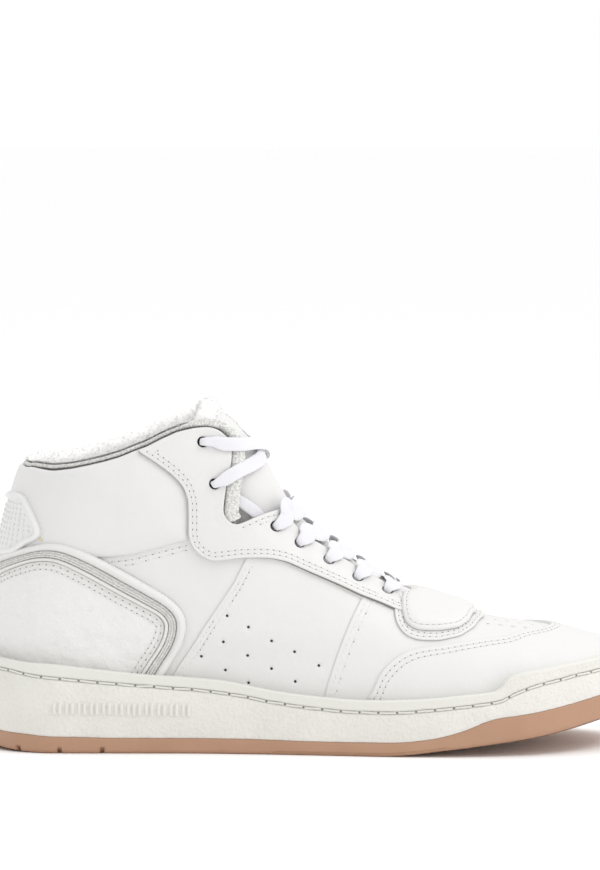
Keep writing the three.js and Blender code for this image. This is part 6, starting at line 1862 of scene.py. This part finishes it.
# underside with a generic tread: flex grooves, a pivot ring and small pips
def sole_floor():
    xs = np.linspace(-149.2, 149.2, 430)
    nv = 120
    V = []
    for x in xs:
        hh = float(sole_half(x)) - 1.6
        hh = max(hh, 0.05)
        y = float(SOLE_C(x)) + np.linspace(-1, 1, nv) * hh
        z = np.full(nv, float(Z_BOTTOM(x)))
        ed = hh - np.abs(y - float(SOLE_C(x)))
        gro = np.zeros(nv)
        for gx in (-60, -40, -20, 0, 20):
            gro = np.maximum(gro, (1 - smooth(0.9, 1.5, abs(x - gx))) * smooth(2.5, 4.0, ed))
        for gx in NOTCHES:
            gro = np.maximum(gro, np.full(nv, float(1 - smooth(0.75, 1.2, abs(x - gx)))))
        r = np.hypot(x - 66, y + 1)
        for rr in (12, 21, 30):
            gro = np.maximum(gro, (1 - smooth(0.9, 1.5, np.abs(r - rr))) * smooth(2.0, 3.5, ed))
        # pips between the grooves
        px, py = (x + 0.8 * np.round(y / 3.4) * 0) % 4.2 - 2.1, y % 4.2 - 2.1
        pip = (1 - smooth(1.0, 1.5, np.hypot(px, py))) * smooth(3, 4.5, ed) * (r > 33)
        V.append(np.column_stack([np.full(nv, x), y, z + 1.1 * gro + 0.25 * (1 - pip) * smooth(3, 4.5, ed) * (r > 33)]))
    V = np.array(V).reshape(-1, 3)
    F = [(i * nv + j, (i + 1) * nv + j, (i + 1) * nv + j + 1, i * nv + j + 1) for i in range(len(xs) - 1) for j in range(nv - 1)]
    return fix_normals(mesh_from("gum_floor", V, F, [GUMM]))


o = join("visual_outsole", [gum_wall, sole_floor()])
done(o, "upper", ("outsole",))

# rubber cup: wall, stitch groove, rounded lip that closes against the upper
zs, zl = Z_STITCH(OX), Z_LIP(OX)
toe_step = smooth(83, 90, OX)
loops, kinds = [], []
H = zs - 1.9 - gum_top


def add_loop(d, z, kind):
    loops.append(rim(d, z))
    kinds.append(kind)


add_loop(1.0, gum_top + 0.15, 0)
add_loop(0.35, gum_top + 0.25, 0)
for f in np.linspace(0.03, 1, 30):
    bulge = 0.38 * (1 - np.abs(2 * f - 1) ** 3)
    add_loop(0.32 - bulge + 0.0 * f, gum_top + 0.3 + f * (H - 0.3), 0)
add_loop(0.42, zs - 1.45, 0)
for u in np.linspace(-1, 1, 9):
    g = 1.0 * (1 - u * u) ** 0.7
    add_loop(0.5 + g, zs + 1.0 * u, 1)
BH = zl - zs - 1.0
# the lip band: a soft roll
for tt in np.linspace(0.06, 1, 16):
    a = tt * math.pi * 0.62
    add_loop(0.55 - 0.55 * math.sin(min(a, math.pi / 2)) * 1.0 + (2.6 * (max(tt - 0.55, 0) / 0.45) ** 2.2), zs + 1.0 + BH * (math.sin(tt * math.pi / 2) ** 0.8), 1)
for dd_, dz in ((3.6, -0.15), (4.5, -0.8), (5.4, -1.7), (6.6, -2.4), (8.0, -2.8), (10.0, -3.4), (12.5, -4.2)):
    add_loop(dd_, zl + dz, 1)
cup = fix_normals(lofted("visual_cupsole", loops, [RUBBER, LIP], mat_of=lambda k: kinds[k]))
# toe bumper: the band gets the wall's coarse grain in front of the step
pol = cup.data.polygons
for pg in pol:
    if pg.material_index == 1 and pg.center.x > 0.0865 and pg.center.z < float(Z_LIP(pg.center.x * 1000)) * 0.001 - 0.0012:
        pg.material_index = 0

# generic moulded bar of upright ribs on the lateral wall, in place of lettering
rv_, rf_ = [], []
for i in range(23):
    x = -115.0 + i * 2.75
    k = int(np.argmin(np.where(OL[:, 1] < 0, np.abs(OX - x), 1e9)))
    base = OL[k]
    inn = OIN[k]
    zc = 19.4 + 0.012 * (-x - 50) * 1.0 - 0.0
    hgt = 3.1
    sect = []
    a = np.linspace(0, math.pi, 9)
    zz = np.linspace(-1, 1, 15)
    o0 = len(rv_)
    for z in zz:
        e_ = math.sqrt(max(1 - abs(z) ** 6, 0))
        for aa_ in a:
            wx = 0.82 * math.cos(aa_) * e_
            ht = 1.05 * math.sin(aa_) ** 0.5 * e_
            p = base + np.array([wx, 0]) - inn * (ht - 0.12)
            rv_.append((p[0], p[1], zc + z * hgt))
    for j in range(14):
        for q_ in range(8):
            rf_.append((o0 + j * 9 + q_, o0 + j * 9 + q_ + 1, o0 + (j + 1) * 9 + q_ + 1, o0 + (j + 1) * 9 + q_))
ribs = fix_normals(mesh_from("ribs", np.array(rv_), rf_, [LIP]))
cup = join("visual_cupsole", [cup, ribs])
done(cup, "upper", ("cupsole",))

# long stitches lying in the groove
path = rim(1.05, zs)
PN = -np.column_stack([OIN, np.zeros(len(OIN))])
(thv, thf), (hov, hof) = stitches(np.vstack([path, path[:1]]), np.vstack([PN, PN[:1]]), pitch=8.4, gap=1.0, r=0.5, sides=10, lift=0.25, rings=14)
o = mesh_from("visual_sole_stitch", thv, thf, [SOLETHREAD])
done(o, "upper", ("sole_stitch",))
# the sole stitch's needle holes: dark discs of painted shade
o = mesh_from("visual_sole_stitch_holes", hov, hof, [NEEDLE_HOLE_SHADE])
done(o, "upper")

# a trace of glue under the heel tab's front corner
gl = to_chart(around, [[-119.6, 95.2]])[0]
gv, gf = [], []
for k in range(2):
    for j in range(14):
        a = 2 * math.pi * j / 14
        rr = (0.95 if k == 0 else 0.45) * (1 + 0.25 * math.sin(3 * a))
        P, N = chart_frame(around, np.array([[gl[0] + rr * 1.0 * math.cos(a), gl[1] + rr * 0.8 * math.sin(a)]]))
        gv.append(P[0] + N[0] * (3.0 if k == 0 else 3.5))
for j in range(14):
    gf.append((j, (j + 1) % 14, 14 + (j + 1) % 14, 14 + j))
gf.append(tuple(range(14, 28)))
o = fix_normals(mesh_from("visual_glue_trace", np.array(gv), gf, [GLUE]))
done(o, "upper")


# ------------------------------------------------------------------ CAD nodes that stay: inner layers
INNER = {"midsole_foam": FOAM, "strobel_board": BOARD, "sockliner": TERRY, "toe_puff": STIFF, "heel_counter": STIFF, "collar_foam_lateral": FOAM, "collar_foam_medial": FOAM,
         "eyestay_backing_lateral": EDGE_L, "eyestay_backing_medial": EDGE_L, "vamp_lining": TERRY, "tongue_foam": FOAM, "heel_tab_backing": EDGE_L}
for name, m in INNER.items():
    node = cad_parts[name]
    node.data.materials.clear()
    node.data.materials.append(m)

SEW.build("visual_stitching", "upper")

# ------------------------------------------------------------------ floor, light, camera
def plane(name, size, z, mat, rot=(0, 0, 0), loc=(0, 0, 0)):
    me = bpy.data.meshes.new(name)
    s = size / 2
    me.from_pydata([(-s, -s, 0), (s, -s, 0), (s, s, 0), (-s, s, 0)], [], [(0, 1, 2, 3)])
    me.materials.append(mat)
    ob = bpy.data.objects.new(name, me)
    ob.location = (loc[0], loc[1], z)
    ob.rotation_euler = rot
    bpy.context.scene.collection.objects.link(ob)
    return ob


FLOORM = bpy.data.materials.new("floor")
FLOORM.use_nodes = True
FLOORM.node_tree.nodes["Principled BSDF"].inputs["Base Color"].default_value = (0.99, 0.99, 0.99, 1)
FLOORM.node_tree.nodes["Principled BSDF"].inputs["Roughness"].default_value = 0.9
FLOORM.node_tree.nodes["Principled BSDF"].inputs["Specular IOR Level"].default_value = 0.1
floor = plane("floor", 12.0, 0.0, FLOORM)

world = bpy.data.worlds.new("world")
bpy.context.scene.world = world
world.use_nodes = True
world.node_tree.nodes["Background"].inputs["Color"].default_value = (1, 1, 1, 1)
world.node_tree.nodes["Background"].inputs["Strength"].default_value = 1.0


def area_light(name, loc, target, size, power, colour=(1, 1, 1)):
    d = bpy.data.lights.new(name, "AREA")
    d.shape = "RECTANGLE"
    d.size, d.size_y = size
    d.energy = power
    d.color = colour
    ob = bpy.data.objects.new(name, d)
    ob.location = loc
    ob.rotation_mode = "QUATERNION"
    ob.rotation_quaternion = (Vector(target) - Vector(loc)).to_track_quat("-Z", "Y")
    bpy.context.scene.collection.objects.link(ob)
    return ob


KEY = area_light("key", (0.75, -0.25, 0.95), (0.07, 0, 0.04), (0.5, 0.5), 3.6)
FILL = area_light("fill", (0.9, -0.9, 0.25), (0.1, 0, 0.05), (0.4, 0.4), 0.9)
TOP = area_light("top", (-0.2, 0.4, 1.3), (0, 0, 0.05), (0.8, 0.8), 1.6)

cam_data = bpy.data.cameras.new("camera")
cam = bpy.data.objects.new("camera", cam_data)
bpy.context.scene.collection.objects.link(cam)
bpy.context.scene.camera = cam
DIST, ELEV = 3.0, math.radians(5.0)
# aimed at X -4.9 mm, apparent height 143.3 mm on the plane Y = -46 mm
aim = Vector((-0.0049, -0.046, 0.1433 / math.cos(ELEV)))
back = Vector((0, -math.cos(ELEV), math.sin(ELEV)))
cam.location = aim + back * DIST
cam.rotation_mode = "QUATERNION"
cam.rotation_quaternion = (-back).to_track_quat("-Z", "Y")
cam_data.type = "PERSP"
cam_data.sensor_fit = "AUTO"
cam_data.sensor_width = 36.0
cam_data.lens = 36.0 * DIST / 0.3872
cam_data.clip_start, cam_data.clip_end = 0.1, 50.0
cam_data.dof.use_dof = False
bpy.context.scene.view_settings.view_transform = "Standard"
bpy.context.scene.view_settings.look = "None"
bpy.context.scene.view_settings.exposure = 0.0
bpy.context.scene.view_settings.gamma = 1.0
